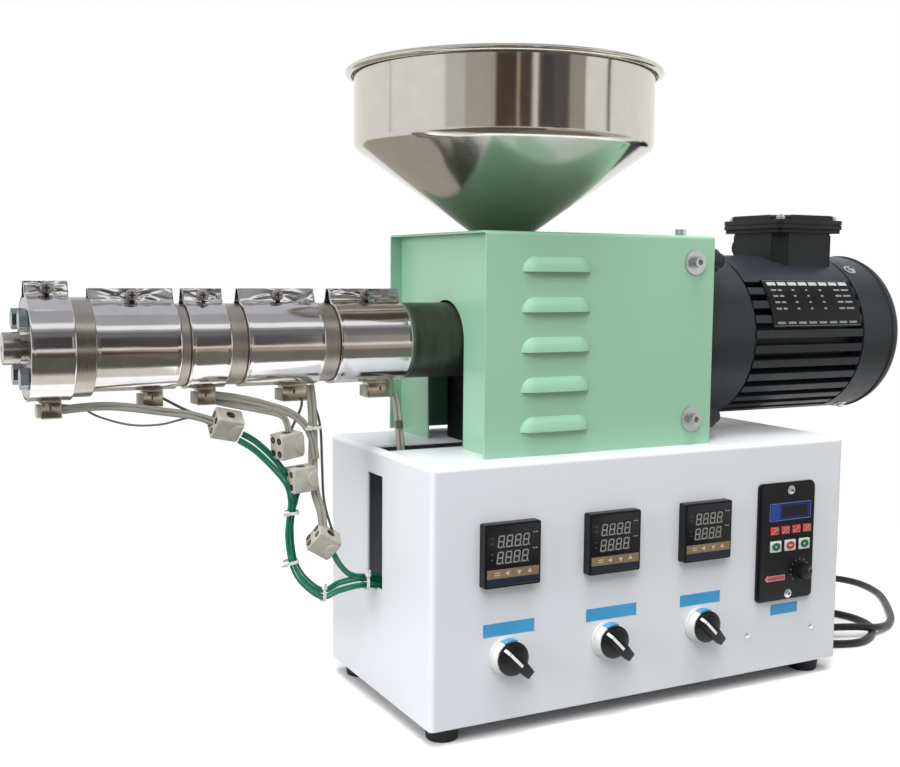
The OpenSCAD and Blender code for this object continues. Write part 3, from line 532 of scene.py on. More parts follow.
def woven(name, warp, gap, pitch):
    """Braid of yarns: two sets of bands cross at right angles, high where a yarn lies on top."""
    finish, tree, shader, coords = start_finish(name)
    bands = []
    for turn in (45, -45):
        turned = add(tree, "Mapping", {"Vector": coords, "Rotation": (0, math.radians(turn), 0)}).outputs[0]
        wave = {"Vector": turned, "Scale": 1 / (pitch * MM) / 3.14, "Distortion": 1.5, "Detail": 1.0}
        bands.append(add(tree, "TexWave", wave).outputs["Fac"])
    yarn = larger(tree, *bands)
    tinted(tree, shader, yarn, gap, warp, 0.2)
    shader.inputs["Roughness"].default_value = 0.75
    bump(tree, shader, yarn, 0.15)
    return finish


def enamel_with_painted_shade():
    """Green enamel with painted shade: darker green on the cover's top near the spout, where the hopper's
    skirt keeps the light off.
    """
    finish, tree, shader, coords = start_finish("green_enamel", coat=0.1)
    clouds = tones(tree, grain(tree, coords, 160), "#90BDA1", "#94C1A5")
    spout = sum(span("hopper")) / 2
    roof = span("cover_shell")[1][2]
    at_spout = (spout[0] * MM, spout[1] * MM, roof * MM)
    away = add(tree, "VectorMath", {0: coords, 1: at_spout}, operation="DISTANCE").outputs["Value"]
    height = add(tree, "SeparateXYZ", {0: coords}).outputs[2]
    on_roof = add(tree, "Math", {0: height, 1: (roof - 0.8) * MM}, operation="GREATER_THAN").outputs[0]
    light = larger(tree, spread(tree, away, 0.02, 0.13), spread(tree, on_roof, 0.0, 1.0, 1.0, 0.0))
    # Painted shade: the roof turns to the darker green #547A5D within about 0.13 m of the spout
    blended(tree, shader, light, "#547A5D", clouds)
    rough(tree, shader, grain(tree, coords, 25, 4.0), 0.28, 0.36)
    bump(tree, shader, grain(tree, coords, 2.2, 2.0), 0.01)
    return finish


# Polyester powder coat baked on folded steel: satin, with a fine orange peel
white_coat = paint("white_powder_coat", "#DADDE2", "#DEE1E5", 180, (0.34, 0.42), 1.6, 0.012)
# Sprayed green machine enamel: a softer satin than the cabinet's, with long even waves, and painted shade on
# its top round the hopper's spout
green_enamel = enamel_with_painted_shade()
# Moulded black ABS with a fine spark-eroded texture: a faint grey sheen, no mirror
black_abs = paint("black_moulded_abs", "#101113", "#141518", 30, (0.3, 0.4), 0.5, 0.012, gloss=0.25)
# Hard-coated polycarbonate film, printed black from behind: smooth
smoked_film = paint("smoked_polycarbonate_film", "#111214", "#141517", 40, (0.16, 0.22), 4, 0.006, gloss=0.3)
# Vulcanised rubber, dull and dusty
foot_rubber = paint("moulded_rubber", "#19191A", "#222223", 20, (0.6, 0.75), 0.8, 0.03, gloss=0.3)
# Stove enamel on cast aluminium: blue-black, with the casting's fine skin under it
motor_enamel = paint("motor_stove_enamel", "#23272A", "#292D31", 60, (0.34, 0.44), 1.2, 0.03, gloss=0.3)
# Moulded terminal box, browner and duller
terminal_plastic = paint("terminal_box_nylon", "#1D1F20", "#232526", 40, (0.36, 0.46), 1, 0.015, gloss=0.22)
# Oxide-blacked steel blocks inside the cover
blacked_steel = paint("blacked_steel", "#121414", "#1B1D1E", 25, (0.45, 0.6), 0.8, 0.02, 0.3, metallic=0.5)
# Plasticised PVC of a mains lead: soft sheen with a faint drawn texture
cord_pvc = paint("cord_pvc", "#161718", "#1E1F20", 25, (0.36, 0.46), 1, 0.01, gloss=0.4)
# The same PVC moulded as a plug: a little duller
cord_moulding = paint("moulded_plug_pvc", "#151617", "#1B1C1D", 18, (0.45, 0.55), 0.7, 0.015, gloss=0.35)
# Black nylon of the coil's tie
black_nylon = paint("black_tie_nylon", "#191A1B", "#202122", 8, (0.35, 0.45), 0.6, 0.01)
# Extruded green PVC
green_pvc = paint("green_wire_pvc", "#0A664B", "#107A5B", 15, (0.3, 0.45), 1.2, 0.02)
# Dark glass-braided wire, dull grey-brown
dark_braid = paint("dark_braided_wire", "#3E3C3A", "#5B5854", 2, (0.5, 0.7), 0.6, 0.08)
# Pale moulded plastic of the selectors' rings
white_moulding = paint("white_moulding", "#CFD1D0", "#D8DAD8", 20, (0.26, 0.36), 0.8, 0.01)
# Nylon 6.6 of cable ties: milky
tie_nylon = paint("tie_nylon", "#D2D2CF", "#DEDEDB", 8, (0.35, 0.5), 0.6, 0.01)
# Unglazed steatite of terminal blocks, a little soiled
steatite = paint("steatite", "#A6A297", "#B8B4A9", 9, (0.4, 0.55), 1, 0.03)
# Prints behind the controllers' film, and unlit figures: flat and dull under a faint sheen
figure_grey = paint("unlit_figure_grey", "#8A8B86", "#979893", 6, (0.5, 0.6), 0.5, 0.004, gloss=0.3)
figure_board = paint("figure_board", "#1B1D1F", "#202224", 12, (0.25, 0.35), 1, 0.004, gloss=0.3)
faint_print = paint("faint_grey_print", "#44464A", "#505255", 6, (0.5, 0.6), 0.5, 0.004, gloss=0.3)
worn_print = paint("worn_grey_print", "#77797B", "#858789", 6, (0.5, 0.6), 0.5, 0.004, gloss=0.3)
tan_print = paint("tan_key_print", "#7A664B", "#8A7557", 20, (0.4, 0.5), 0.6, 0.01, gloss=0.3)
pale_print = paint("pale_print", "#B5B0A4", "#C4C0B4", 6, (0.5, 0.6), 0.5, 0.004)
navy_print = paint("navy_print", "#17212F", "#1D293A", 20, (0.3, 0.4), 0.6, 0.004, gloss=0.3)
# Blue label paper, matt, and the scraps of it on the selectors' rings, which are rubbed
blue_paper = paint("blue_label_paper", "#3593C6", "#43A1D0", 25, (0.5, 0.62), 0.7, 0.012)
rubbed_paper = paint("rubbed_label_paper", "#4E8DB4", "#6AA3C4", 3, (0.5, 0.62), 0.7, 0.012)
# Screen-printed polyester film of the speed controller and its keys: satin
display_blue = paint("display_blue", "#1A2556", "#202C62", 15, (0.25, 0.35), 1, 0.004, gloss=0.3)
bright_blue = paint("bright_blue_print", "#243F8C", "#2B4896", 8, (0.3, 0.4), 1, 0.004, gloss=0.3)
frame_line = paint("pale_blue_line", "#5F74C0", "#6C80C8", 8, (0.4, 0.5), 1, 0.004)
display_dark = paint("display_window", "#1B1720", "#211C26", 20, (0.15, 0.22), 2, 0.004, gloss=0.3)
red_key = paint("red_key_film", "#A5322F", "#B23B37", 8, (0.35, 0.45), 0.8, 0.01, gloss=0.3)
pink_print = paint("pink_print", "#C98C84", "#D59B93", 4, (0.4, 0.5), 0.8, 0.004)
white_key = paint("white_key_film", "#BFC5BE", "#CBD0C9", 8, (0.35, 0.45), 0.8, 0.01)
green_print = paint("green_key_print", "#0F5A40", "#176C4E", 4, (0.35, 0.45), 0.8, 0.004, gloss=0.3)
red_tag = paint("red_tag_print", "#A03B44", "#AF4A52", 4, (0.4, 0.5), 0.8, 0.004)
white_ink = paint("white_ink", "#E2E2E0", "#ECECEA", 6, (0.4, 0.5), 0.8, 0.004)
# Anodised nameplate, brushed and then dyed black, and the bare metal of its heading
plate_black = paint("black_anodised_plate", "#0D0E0F", "#131415", 20, (0.3, 0.4), 0.4, 0.004, gloss=0.25)
plate_print = paint("nameplate_print", "#A4A5A4", "#B0B1B0", 6, (0.4, 0.5), 0.5, 0.004)
# Painted shade: thin dark sheets that stand for the shade inside holes, screws' slots and gaps; dull
painted_recess_shade = paint("painted_recess_shade", "#0C0C0D", "#131314", 4, (0.6, 0.7), 0.8, 0.01, gloss=0.2)
# Mirror-polished stainless sheet, spun: it shows its surroundings a little bent
polished_steel = metal("mirror_stainless", "#CAC6BF", "#D0CCC5", (0.12, 0.16), (1, 1, 0.05), 3, 0.001,
                       dents=0.05, spun=0.75)
# Bright rolled stainless strip of the bands: long fine rolling marks
band_strip = metal("bright_band_strip", "#C9C7C6", "#D4D2D1", (0.09, 0.16), (0.04, 1, 1), 1.2, 0.002,
                   dents=0.14)
# Turned steel with fine rings about its axis
turned_steel = metal("turned_steel", "#A09B94", "#B0ABA4", (0.2, 0.28), (1, 0.02, 0.02), 0.5, 0.002)
# Zinc plate on screws and washers: bluish and bright
zinc_plate = metal("zinc_plate", "#CDD0D3", "#D8DBDE", (0.34, 0.42), (1, 1, 1), 6, 0.001)
# Steel screws browned by the bands' heat
heated_screw = metal("heated_screw_steel", "#AAA6A2", "#B8B4B0", (0.34, 0.42), (1, 1, 1), 4, 0.002)
# Zinc-plated and blued heads of the die's bolts
blued_zinc = metal("blued_zinc", "#7F8A8E", "#97A1A5", (0.22, 0.3), (1, 1, 1), 4, 0.002)
# Nickel-plated tin of the leads' boxes, dulled by heat
boxed_tin = metal("heated_tin", "#A39D90", "#B9B3A6", (0.12, 0.2), (0.1, 1, 1), 1.2, 0.002, dents=0.06)
# Brass of the terminal screws, gone brown
brass = metal("terminal_brass", "#6A5F45", "#7F7355", (0.3, 0.4), (1, 1, 1), 4, 0.002)
# Turned steel of the barrel, with the scale that heat leaves near the cover
barrel_steel = heat_darkened()
# Braided glass sleeve over the heaters' leads, greyed by handling
glass_sleeve = woven("woven_glass_sleeve", "#AFACA3", "#65625B", 1.1)
# Stainless overbraid of the thin sensor cable
steel_braid = woven("steel_overbraid", "#7C7974", "#3C3A38", 0.7)

# Panel: places are measured from the cabinet's lower left front corner

CONTROLLERS = "temp_controller_1 temp_controller_2 temp_controller_3"
FILM_D = 0.3
BOARD_D = 0.03
FIGURE_W = 4.3
FIGURE_H = 8.3
FIGURE_PITCH = 7.1
FIGURE_LEAN = 0.13
KEY_STRIP_Z = -13.3


def figure():
    """Seven unlit bars of a figure eight and its dot, drawn flat about its middle, leaning right."""
    x, y = FIGURE_W / 2, FIGURE_H / 2
    ends = [((-x, z), (x, z)) for z in (-y, 0, y)] + [((s, z), (s, z + y)) for s in (-x, x) for z in (-y, 0)]
    outlines = [stroke(a, b, 0.95) for a, b in ends] + [circle(0.55, 10, (x + 1.1, -y))]
    lean = np.array([[1, 0], [FIGURE_LEAN, 1]])
    return join(*(slab(outline @ lean, 0, INK) for outline in outlines))


def controller_faces():
    """Film of each temperature controller: two rows of four figures, a strip of keys and a bare strip."""
    films, boards, figures, dashes, strips, marks, feet = ([] for _ in range(7))
    for node in CONTROLLERS.split():
        low, high = span(node)
        x, y, z = (low[0] + high[0]) / 2, low[1], (low[2] + high[2]) / 2

        def put(part, dx=0.0, dz=0.0, out=FILM_D):
            return faced(part, x + dx, y - out, z + dz)

        films.append(put(slab(rounded(45, 45, 1.2), 0, FILM_D, 0.12), out=0.0))
        for dx, dz in ((0.8, 10.8), (0.0, -1.3)):
            boards.append(put(slab(rounded(29.6, 11.2, 0.4), 0, BOARD_D), dx, dz))
            for k in range(4):
                figures.append(put(figure(), dx - 0.5 + (k - 1.5) * FIGURE_PITCH, dz, FILM_D + BOARD_D))
            figures.append(put(bars(((0, 0), (1.7, 0)), ((2.3, 0), (4.0, 0)), width=0.8), 16.8, dz + 4.8))
            dashes.append(put(bars(((0, 0), (1.6, 0)), ((0, -4), (1.6, -4)), width=0.9), -18.6, dz + 3))
        strips.append(put(slab(rounded(44.2, 6.8, 0.2), 0, INK), 0.2, KEY_STRIP_Z))
        lines = bars(((-2.4, 0.9), (2.4, 0.9)), ((-2.4, -0.9), (2.4, -0.9)), width=0.7)
        marks.append(put(lines, -13.4, KEY_STRIP_Z, FILM_D + INK))
        for dx, turn in ((-4.4, 180), (5.3, 270), (14.4, 90)):
            triangle = slab(circle(2.2, 3, start=turn), 0, INK)
            marks.append(put(triangle, dx, KEY_STRIP_Z, FILM_D + INK))
        feet.append(put(slab(rounded(44.2, 5.2, 0.6), 0, 0.04), 0.2, -19.3))
    for name, parts, finish in (("controller_films", films, smoked_film),
                                ("figure_boards", boards, figure_board),
                                ("unlit_figures", figures, figure_grey),
                                ("controller_dashes", dashes, faint_print),
                                ("controller_key_strips", strips, tan_print),
                                ("controller_key_marks", marks, pale_print),
                                ("controller_bare_strips", feet, navy_print)):
        piece(name, parts, finish)


SELECTOR_R = 12.0
SELECTOR_TURN = about(2, -45)


def selector_axis(k):
    """Where a selector's shaft lies: its disc is round, so its left and upper sides give its middle."""
    low, high = span(f"selector_handle_{k}")
    return low[0] + SELECTOR_R, high[2] - SELECTOR_R


def selectors():
    """Each selector's domed disc, its lever that rises from the rim to a flat top, and the line on it."""
    disc = [(0, 0.25), (12.5, 0.25), (13, 0.7), (12.9, 1.6), (12, 2.2), (9, 2.7), (5, 3), (0, 3)]
    reach = np.array([-12.6, -12.4, -8.5, -7.6, 8.0, 17.8, 18.4, 18.7])
    top = np.array([1.2, 1.7, 6.1, 6.5, 6.5, 6.5, 6.2, 5.4])
    half = np.array([4.4, 4.8, 4.9, 4.9, 4.7, 3.75, 3.6, 3.3])
    edge = 0.8 * np.minimum(1, top / 5)
    foot = 0 * top + 0.5
    right = [(half, foot), (half, top - edge), (half - edge * 0.3, top - edge * 0.3), (half - edge, top)]
    columns = right + [(-side, height) for side, height in right[::-1]]
    lever = capped(np.stack([np.stack([reach, side, height], axis=1) for side, height in columns], axis=1))
    line = ribbon([(-11.8, 0, 2.4), (-8.4, 0, 6.22), (-7.4, 0, 6.52), (7.2, 0, 6.52)], (0, 1, 0), 2.3, 0.12)
    face = span("selector_bezels")[0][1]
    for k in (1, 2, 3):
        x, z = selector_axis(k)
        handle = join(lathe(disc, 72), moved(lever, turn=SELECTOR_TURN))
        piece(f"selector_knob_{k}", faced(handle, x, face, z), black_abs, f"selector_{k}",
              (f"selector_handle_{k}",), sharp=40)
        piece(f"selector_line_{k}", faced(moved(line, turn=SELECTOR_TURN), x, face, z), white_ink,
              f"selector_{k}")


# Each label's left, right, lower and upper edge
LABELS = ((43.2, 87.5, 65.5, 75.5), (134.5, 182.3, 65.7, 75.7), (225.8, 267.1, 66.0, 75.6),
          (322.9, 353.0, 46.6, 55.7))
SCRAP_R = (12.2, 14.1)


def paper_labels():
    """Bare blue labels whose corners lift by a hair, and a torn scrap on each selector's ring."""
    parts = []
    u, v = np.meshgrid(np.linspace(-1, 1, 25), np.linspace(-1, 1, 9), indexing="ij")
    for left, right, low, high in LABELS:
        x = (left + right) / 2 + u * (right - left) / 2
        z = (low + high) / 2 + v * (high - low) / 2
        lift = 0.12 + 0.35 * np.abs(u) ** 12 * np.abs(v) ** 3
        front = np.stack([x, -lift, z], axis=-1) + CABINET
        back = np.stack([x, -lift + 0.1, z], axis=-1) + CABINET
        rim = [np.s_[:, 0], np.s_[-1, :], np.s_[::-1, -1], np.s_[0, ::-1]]
        edge = np.concatenate([np.stack([front[r], back[r]], axis=1)[:-1] for r in rim])
        parts += [surface(front), surface(back[::-1]), surface(edge, closed_u=True)]
    piece("blue_labels", parts, blue_paper)
    face = span("selector_bezels")[0][1]
    inner, outer = SCRAP_R
    parts = []
    for k in (1, 2, 3):
        x, z = selector_axis(k)
        way = arc((0, 0), 1, 72, 121, 17)
        front = np.vstack([way * inner, way[::-1] * outer])
        parts.append(faced(slab(front, 0, 0.1), x, face, z))
        side = np.insert(way * (outer - 0.05), 1, 0, axis=1) + (x, face + 3.2, z)
        parts.append(ribbon(side, (0, -1, 0), 6.4, 0.12))
    piece("label_scraps", parts, rubbed_paper)


DISPLAY = (337.2, 136.8)
DISPLAY_IN = -0.25
RED_KEYS_Z = 121.1
WHITE_KEYS_Z = 107.6
KEY_H = 1.2
DIAL = (349.5, 84.5)
KNOB_H = 9.0
SPEED_SCREWS = ((337, 155), (337, 65.5))


def put(part, x, z, out=0.0):
    """A shape drawn flat, put on the speed controller's face or so far in front of it."""
    return faced(part, CABINET[0] + x, span("speed_controller")[0][1] - out, CABINET[2] + z)


def speed_display():
    """Blue display with a pale frame, a brighter bare label and a dark window."""
    x, z = DISPLAY
    back = put(slab(rounded(46, 15.4, 0.6), -1.2, DISPLAY_IN), x, z)
    label = put(slab(rounded(9.6, 12.6, 0.5), 0, 0.06), x - 16.4, z, DISPLAY_IN)
    window = put(slab(rounded(27.5, 9.2, 0.5), 0, 0.08), x + 5, z, DISPLAY_IN)
    piece("display_panel", back, display_blue)
    piece("display_line", put(bars(*sides_of(22.6, 7.2), width=0.5), x, z, DISPLAY_IN), frame_line)
    piece("display_label", label, bright_blue)
    piece("display_window", window, display_dark)


def speed_keys():
    """Four red keys with a framed stroke or cross, and three white ones with an oval and a plain sign."""
    red, white, strokes, green, ovals, signs = ([] for _ in range(6))
    for k in range(4):
        x = 319.5 + 12 * k
        red.append(put(slab(rounded(9.0, 6.8, 0.7), 0, KEY_H, 0.35), x, RED_KEYS_Z))
        strokes.append(put(bars(*sides_of(3.6, 2.5), width=0.35), x, RED_KEYS_Z, KEY_H))
        strokes.append(put(bars(((-2.9, -1.8), (2.9, 1.8)), width=0.9), x, RED_KEYS_Z, KEY_H))
        if k in (1, 3):
            strokes.append(put(bars(((-2.4, 1.8), (2.6, -1.8)), width=0.6), x, RED_KEYS_Z, KEY_H))
    for k, group in enumerate((green, ovals, green)):
        x = 321.3 + 15.9 * k
        white.append(put(slab(rounded(11.8, 9.4, 0.9), 0, KEY_H, 0.35), x, WHITE_KEYS_Z))
        group.append(put(slab(circle(1, 40) * (4.6, 3.4), 0, 0.06), x, WHITE_KEYS_Z, KEY_H))
        sign = rounded(4.2, 1.3, 0.3) if k == 1 else circle(1.5, 3, start=90 if k else -90)
        signs.append(put(slab(sign, 0, 0.06), x, WHITE_KEYS_Z, KEY_H + 0.06))
    piece("red_keys", red, red_key, replaces=("speed_panel_keys",))
    piece("white_keys", white, white_key)
    piece("red_key_marks", strokes, pink_print)
    piece("white_key_green_ovals", green, green_print)
    piece("white_key_red_oval", ovals, red_key)
    piece("white_key_marks", signs, pale_print)


def speed_dial():
    """Marks, the knob P(u, v) = (r(u) + f(u) cos 24 v) turned about its shaft, a bare tag and two screws."""
    turns = np.radians(np.arange(-135, 136, 27))
    ticks = [(8.9 * np.array([math.sin(a), math.cos(a)]), 10.6 * np.array([math.sin(a), math.cos(a)]))
             for a in turns]
    piece("dial_marks", put(bars(*ticks, width=0.7), *DIAL), worn_print)
    turn = np.radians(np.arange(96) * 3.75)[None, :]
    rise = np.array([0.4, 0.4, 2.2, 2.4, 8.2, 8.8, KNOB_H, KNOB_H])[:, None]
    reach = np.array([0.0, 8.0, 8.0, 6.9, 6.5, 6.2, 5.7, 0.0])[:, None]
    reach = reach + np.array([0, 0, 0, 0.3, 0.3, 0.2, 0, 0])[:, None] * np.cos(24 * turn)
    knob = np.stack([reach * np.cos(turn), reach * np.sin(turn), rise + 0 * turn], axis=-1)
    piece("fluted_knob", put(flipped(surface(knob, closed_v=True)), *DIAL), black_abs,
          "speed_dial", ("speed_knob",), sharp=40)
    pointer = bars(((1.5, 1.5), (3.9, 3.9)), width=0.9, low=KNOB_H)
    piece("knob_pointer", put(pointer, *DIAL), worn_print, "speed_dial")
    arrow = np.array([(-11.2, 0), (-7.6, -3.1), (-7.6, -2.3), (11.2, -2.3), (11.2, 2.3), (-7.6, 2.3),
                      (-7.6, 3.1)])
    piece("arrow_tag_edge", put(slab(arrow, 0, INK), 321.9, 80.1), pink_print)
    piece("arrow_tag", put(slab(arrow * (0.86, 0.7), 0, 0.08), 322.6, 80.1), red_tag)
    washer = lathe([(0, 0), (3.7, 0), (3.9, 0.2), (3.7, 0.5), (0, 0.5)], 40)
    screws = [put(pan_head(3.1, 1.8), x, z, 0.4) for x, z in SPEED_SCREWS]
    screws += [put(washer, x, z) for x, z in SPEED_SCREWS]
    # The screws' cross slots are painted shade
    slots = [put(cross_slot(1.7, 0.7, 0, 0.06), x, z, 2.17) for x, z in SPEED_SCREWS]
    piece("panel_screws", screws, zinc_plate)
    piece("panel_screw_slots", slots, painted_recess_shade)


FRONT_SCREWS = ((298.4, 32.4), (369.8, 31.1))
REAR_EDGE = 8.5


def cabinet_screws():
    """Two small screws in the panel, and those that hold the rear panel in its frame."""
    heads = [faced(pan_head(2.4, 1.5), CABINET[0] + x, CABINET[1], CABINET[2] + z) for x, z in FRONT_SCREWS]
    middle = (CABINET + CABINET_FAR) / 2
    reach = (CABINET_FAR - CABINET) / 2 - REAR_EDGE
    for sx in (-1, 0, 1):
        for sz in (-1, 1):
            at = (middle[0] + sx * reach[0], CABINET_FAR[1], middle[2] + sz * reach[2])
            heads.append(moved(pan_head(3.2, 1.8), at, TO_BACK))
    piece("cabinet_screws", heads, zinc_plate)


# Hopper

HOPPER_SHEET = 1.0
HOPPER_WALL = 60.0
RIM_R = 4.0
RIM_FLATNESS = 0.62
RIM_RISE = 1.5
SHOULDER_R = 9.0
SPOUT_R = 25.0


def hopper():
    """Spun sheet turned about its axis: spout, cone, soft shoulder, straight wall and a curled rim."""
    low, high = span("hopper")
    middle = (low + high) / 2
    half = HOPPER_SHEET / 2
    wall = (high[0] - low[0]) / 2 - 2 * RIM_R + half
    top = high[2] + RIM_RISE - RIM_R * RIM_FLATNESS
    cover_top = span("cover_shell")[1][2]
    wall_low = high[2] - HOPPER_WALL
    slope = math.degrees(math.atan2(wall_low - cover_top - 1.8, wall + half - SPOUT_R))
    shoulder = (wall + half - SHOULDER_R, wall_low + SHOULDER_R * math.tan(math.radians(90 - slope) / 2))
    spout = [[SPOUT_R - half, low[2]], [SPOUT_R - half, cover_top + 0.4]]
    bend = arc(shoulder, SHOULDER_R - half, slope - 90, 0, 14)
    cone = np.linspace([SPOUT_R + 0.6, cover_top + 2.2], bend[0], 12)
    curl = arc((wall + RIM_R - half, 0), RIM_R - half, 180, -100, 22) * (1, RIM_FLATNESS) + (0, top)
    line = np.vstack([spout, cone[:-1], bend, np.linspace(bend[-1], curl[0], 8)[1:-1], curl])
    side = np.gradient(line, axis=0)
    side = np.stack([side[:, 1], -side[:, 0]], axis=1) / np.linalg.norm(side, axis=1)[:, None]
    profile = np.vstack([line + half * side, (line - half * side)[::-1]])
    part = moved(lathe(profile, 160, closed=True), (middle[0], middle[1], 0))
    piece("hopper_sheet", part, polished_steel, replaces=("hopper",), sharp=50)


# Barrel and heater bands

BORE_R = 12.5
STRIP_T = 1.2
EAR_H = 9.0
EAR_FOOT = 6.6
EAR_TIP = 2.6
BEAD = 0.35
# How far from the ears the folds lie, how many each end has, and how deep the deepest is
CREASED = 15
CREASES = 16
CREASE_D = 0.6


def creases(rng, s, x, width):
    """Sum of sharp folds: ridges exp(-(d / w)^2) along lines through random places near the ears."""
    height = np.zeros(np.broadcast(s, x).shape)
    for _ in range(CREASES):
        middle_s, middle_x = rng.uniform(0, CREASED), rng.uniform(0, width)
        turn = rng.normal(0, 0.35)
        reach, fold = rng.uniform(5, 15), rng.uniform(0.6, 1.3)
        depth = CREASE_D * rng.uniform(0.35, 1.0) * rng.choice([-1, 1])
        along = (x - middle_x) * math.cos(turn) + (s - middle_s) * math.sin(turn)
        over = (s - middle_s) * math.cos(turn) - (x - middle_x) * math.sin(turn)
        height += depth * np.exp(-(along / reach) ** 2 - (over / fold) ** 2)
    return height


def band_path(radius):
    """Middle of the strip round the barrel, from the tip of one ear to the other's, as points (y, z)."""
    middle_r = radius - STRIP_T / 2
    bend_from = math.degrees(math.asin((EAR_FOOT + 2.2) / middle_r))
    body = arc((0, 0), middle_r, 90 - bend_from, -270 + bend_from, 150)
    foot = np.array([EAR_FOOT, math.sqrt(middle_r ** 2 - EAR_FOOT ** 2)])
    tip = np.array([EAR_TIP, radius + EAR_H])
    leg = foot + (tip - foot) * 0.25
    t = np.linspace(0, 1, 7)[:, None]
    corner = (1 - t) ** 2 * leg + 2 * t * (1 - t) * foot + t ** 2 * body[0]
    ear = np.vstack([np.linspace(tip, leg, 11)[:-1], corner[:-1]])
    return np.vstack([ear, body, ear[::-1] * (-1, 1)])


def band_sheet(node, seed):
    """Strip whose ends turn up as ears: P(s, x) = path(s) + (thickness + folds) n(s)."""
    low, high = span(node)
    width = high[0] - low[0]
    path = band_path(high[2] - EAR_H - AXIS_Z)
    run = distance(path)[:, None]
    s = np.minimum(run, run[-1] - run)
    x = np.linspace(0.3, width - 0.3, int(width / 1.1))[None, :]
    rng = np.random.default_rng(seed)
    folds = np.where(run < run[-1] / 2, creases(rng, s, x, width), creases(rng, s, x, width))
    waves = 0.07 * np.sin(x / 4.7 + seed) * np.sin(run / 9.0 + seed)
    bead = BEAD * (np.exp(-((x - 0.9) / 0.6) ** 2) + np.exp(-((x - width + 0.9) / 0.6) ** 2))
    outer = STRIP_T / 2 + folds + waves * np.exp(-s / 40) + bead
    inner = -STRIP_T / 2 + folds * (s < EAR_H)
    right, left = (outer[:, -1:] - 0.4, inner[:, -1:]), (inner[:, :1], outer[:, :1] - 0.4)
    depth = np.hstack([outer, *right, inner[:, ::-1], *left])
    across = np.concatenate([x[0], [width] * 2, x[0, ::-1], [0.0] * 2])
    way = tangents(path)
    out = np.stack([-way[:, 1], way[:, 0]], axis=1)
    yz = path[:, None, :] + depth[..., None] * out[:, None, :] + (0, AXIS_Z)
    across = np.broadcast_to(low[0] + across[None, :, None], depth.shape + (1,))
    part = capped(np.concatenate([across, yz], axis=-1))
    piece(node + "_strip", part, band_strip, replaces=(node,), sharp=60)


# Middle of each band's tin box, measured from the band's middle, and its width
BOX_SPANS = ((0.5, 16.5), (13.0, 17.0), (1.0, 16.5), (12.4, 22.4), (12.2, 25.0))
BOX_D = 11.0
BOX_H = 12.5


def band_fittings():
    """Clamp screw and nut of each band, and the folded tin box with its insulator under it; the screws'
    slots, a keyhole under each screw and the gaps in and under each box are painted shade.
    """
    heads, slots, nuts, boxes, blocks, gaps = ([] for _ in range(6))
    front, back = -BOX_D / 2, BOX_D / 2
    reach = (EAR_FOOT + EAR_TIP) / 2 + 0.7
    end = 2 * reach + 3.6
    shank = lathe([(0, 0), (2, 0), (2, end - 0.6), (1.4, end), (0, end)], 20)
    for k, (shift, box_w) in enumerate(BOX_SPANS):
        low, high = span(f"heater_band_{k + 1}")
        x, z = (low[0] + high[0]) / 2, high[2] - EAR_H / 2
        heads.append(moved(pan_head(4.5, 3.2), (x, -reach, z), TO_FRONT))
        heads.append(moved(shank, (x, -reach, z), TO_BACK))
        slots.append(moved(cross_slot(2.3, 0.9, 0, 0.08), (x, -reach - 3.2, z), TO_FRONT))
        # Painted shade: a dark block at the front ear's foot, under the screw head
        slots.append(moved(rounded_box((-1.6, -1.6, -1.2), (1.6, 1.6, 1.2), 0.5), (x, -EAR_FOOT, z - 5.2)))
        nuts.append(moved(slab(circle(4.4, 6, start=30), 0, 3, 0.4), (x, reach, z), TO_BACK))
        base, roof = low[2], low[2] + BOX_H
        left = x + shift - box_w / 2

        def box(x0, x1, y0, y1, z0, z1, radius):
            return rounded_box((left + x0, y0, z0), (left + x1, y1, z1), radius)

        boxes.append(box(2.6, box_w, front, back, base, roof - 0.6, 0.9))
        boxes.append(box(1.4, box_w - 0.4, front - 0.6, back + 0.6, roof - 1.0, roof + 0.9, 0.4))
        boxes.append(box(3.4, box_w - 1.0, front - 0.35, front + 0.4, base + 0.6, base + 1.4, 0.3))
        # Painted shade: a dark slot in the box's front and a dark sheet under the box
        gaps.append(box(box_w * 0.5, box_w * 0.56, front - 0.12, front + 0.3, roof - 6.6, roof - 3.8, 0.1))
        gaps.append(box(4.2, box_w - 1.4, front + 1.2, back - 1.2, base - 0.1, base + 0.5, 0.1))
        blocks.append(box(-0.4, 3.2, front + 1.0, back - 1.0, base + 1.0, roof - 2.6, 0.8))
    piece("band_clamp_screws", heads, heated_screw)
    piece("band_screw_slots", slots, painted_recess_shade)
    piece("band_clamp_nuts", nuts, zinc_plate)
    piece("band_boxes", boxes, boxed_tin)
    piece("band_box_gap_shade", gaps, painted_recess_shade)
    piece("band_insulators", blocks, steatite)


def barrel():
    """Turned barrel: a shallow relief under each band, with its length along X."""
    low, high = span("barrel")
    radius = (high[2] - low[2]) / 2
    profile = [(BORE_R, low[0]), (radius - 0.5, low[0]), (radius, low[0] + 0.5)]
    for k in range(2, 6):
        left, right = (end[0] for end in span(f"heater_band_{k}"))
        for x, depth in ((left - 0.6, 0.0), (left - 0.3, 0.25), (right + 0.3, 0.25), (right + 0.6, 0.0)):
            if x > profile[-1][1]:
                profile.append((radius - depth, x))
    profile += [(radius, high[0] - 0.5), (radius - 0.5, high[0]), (BORE_R, high[0])]
    part = moved(lathe(profile, 96, closed=True), (0, 0, AXIS_Z), TO_RIGHT)
    piece("turned_barrel", part, barrel_steel, replaces=("barrel",), sharp=20)


# Wiring: routes from the bands' boxes over the ceramic blocks to the cabinet's slot

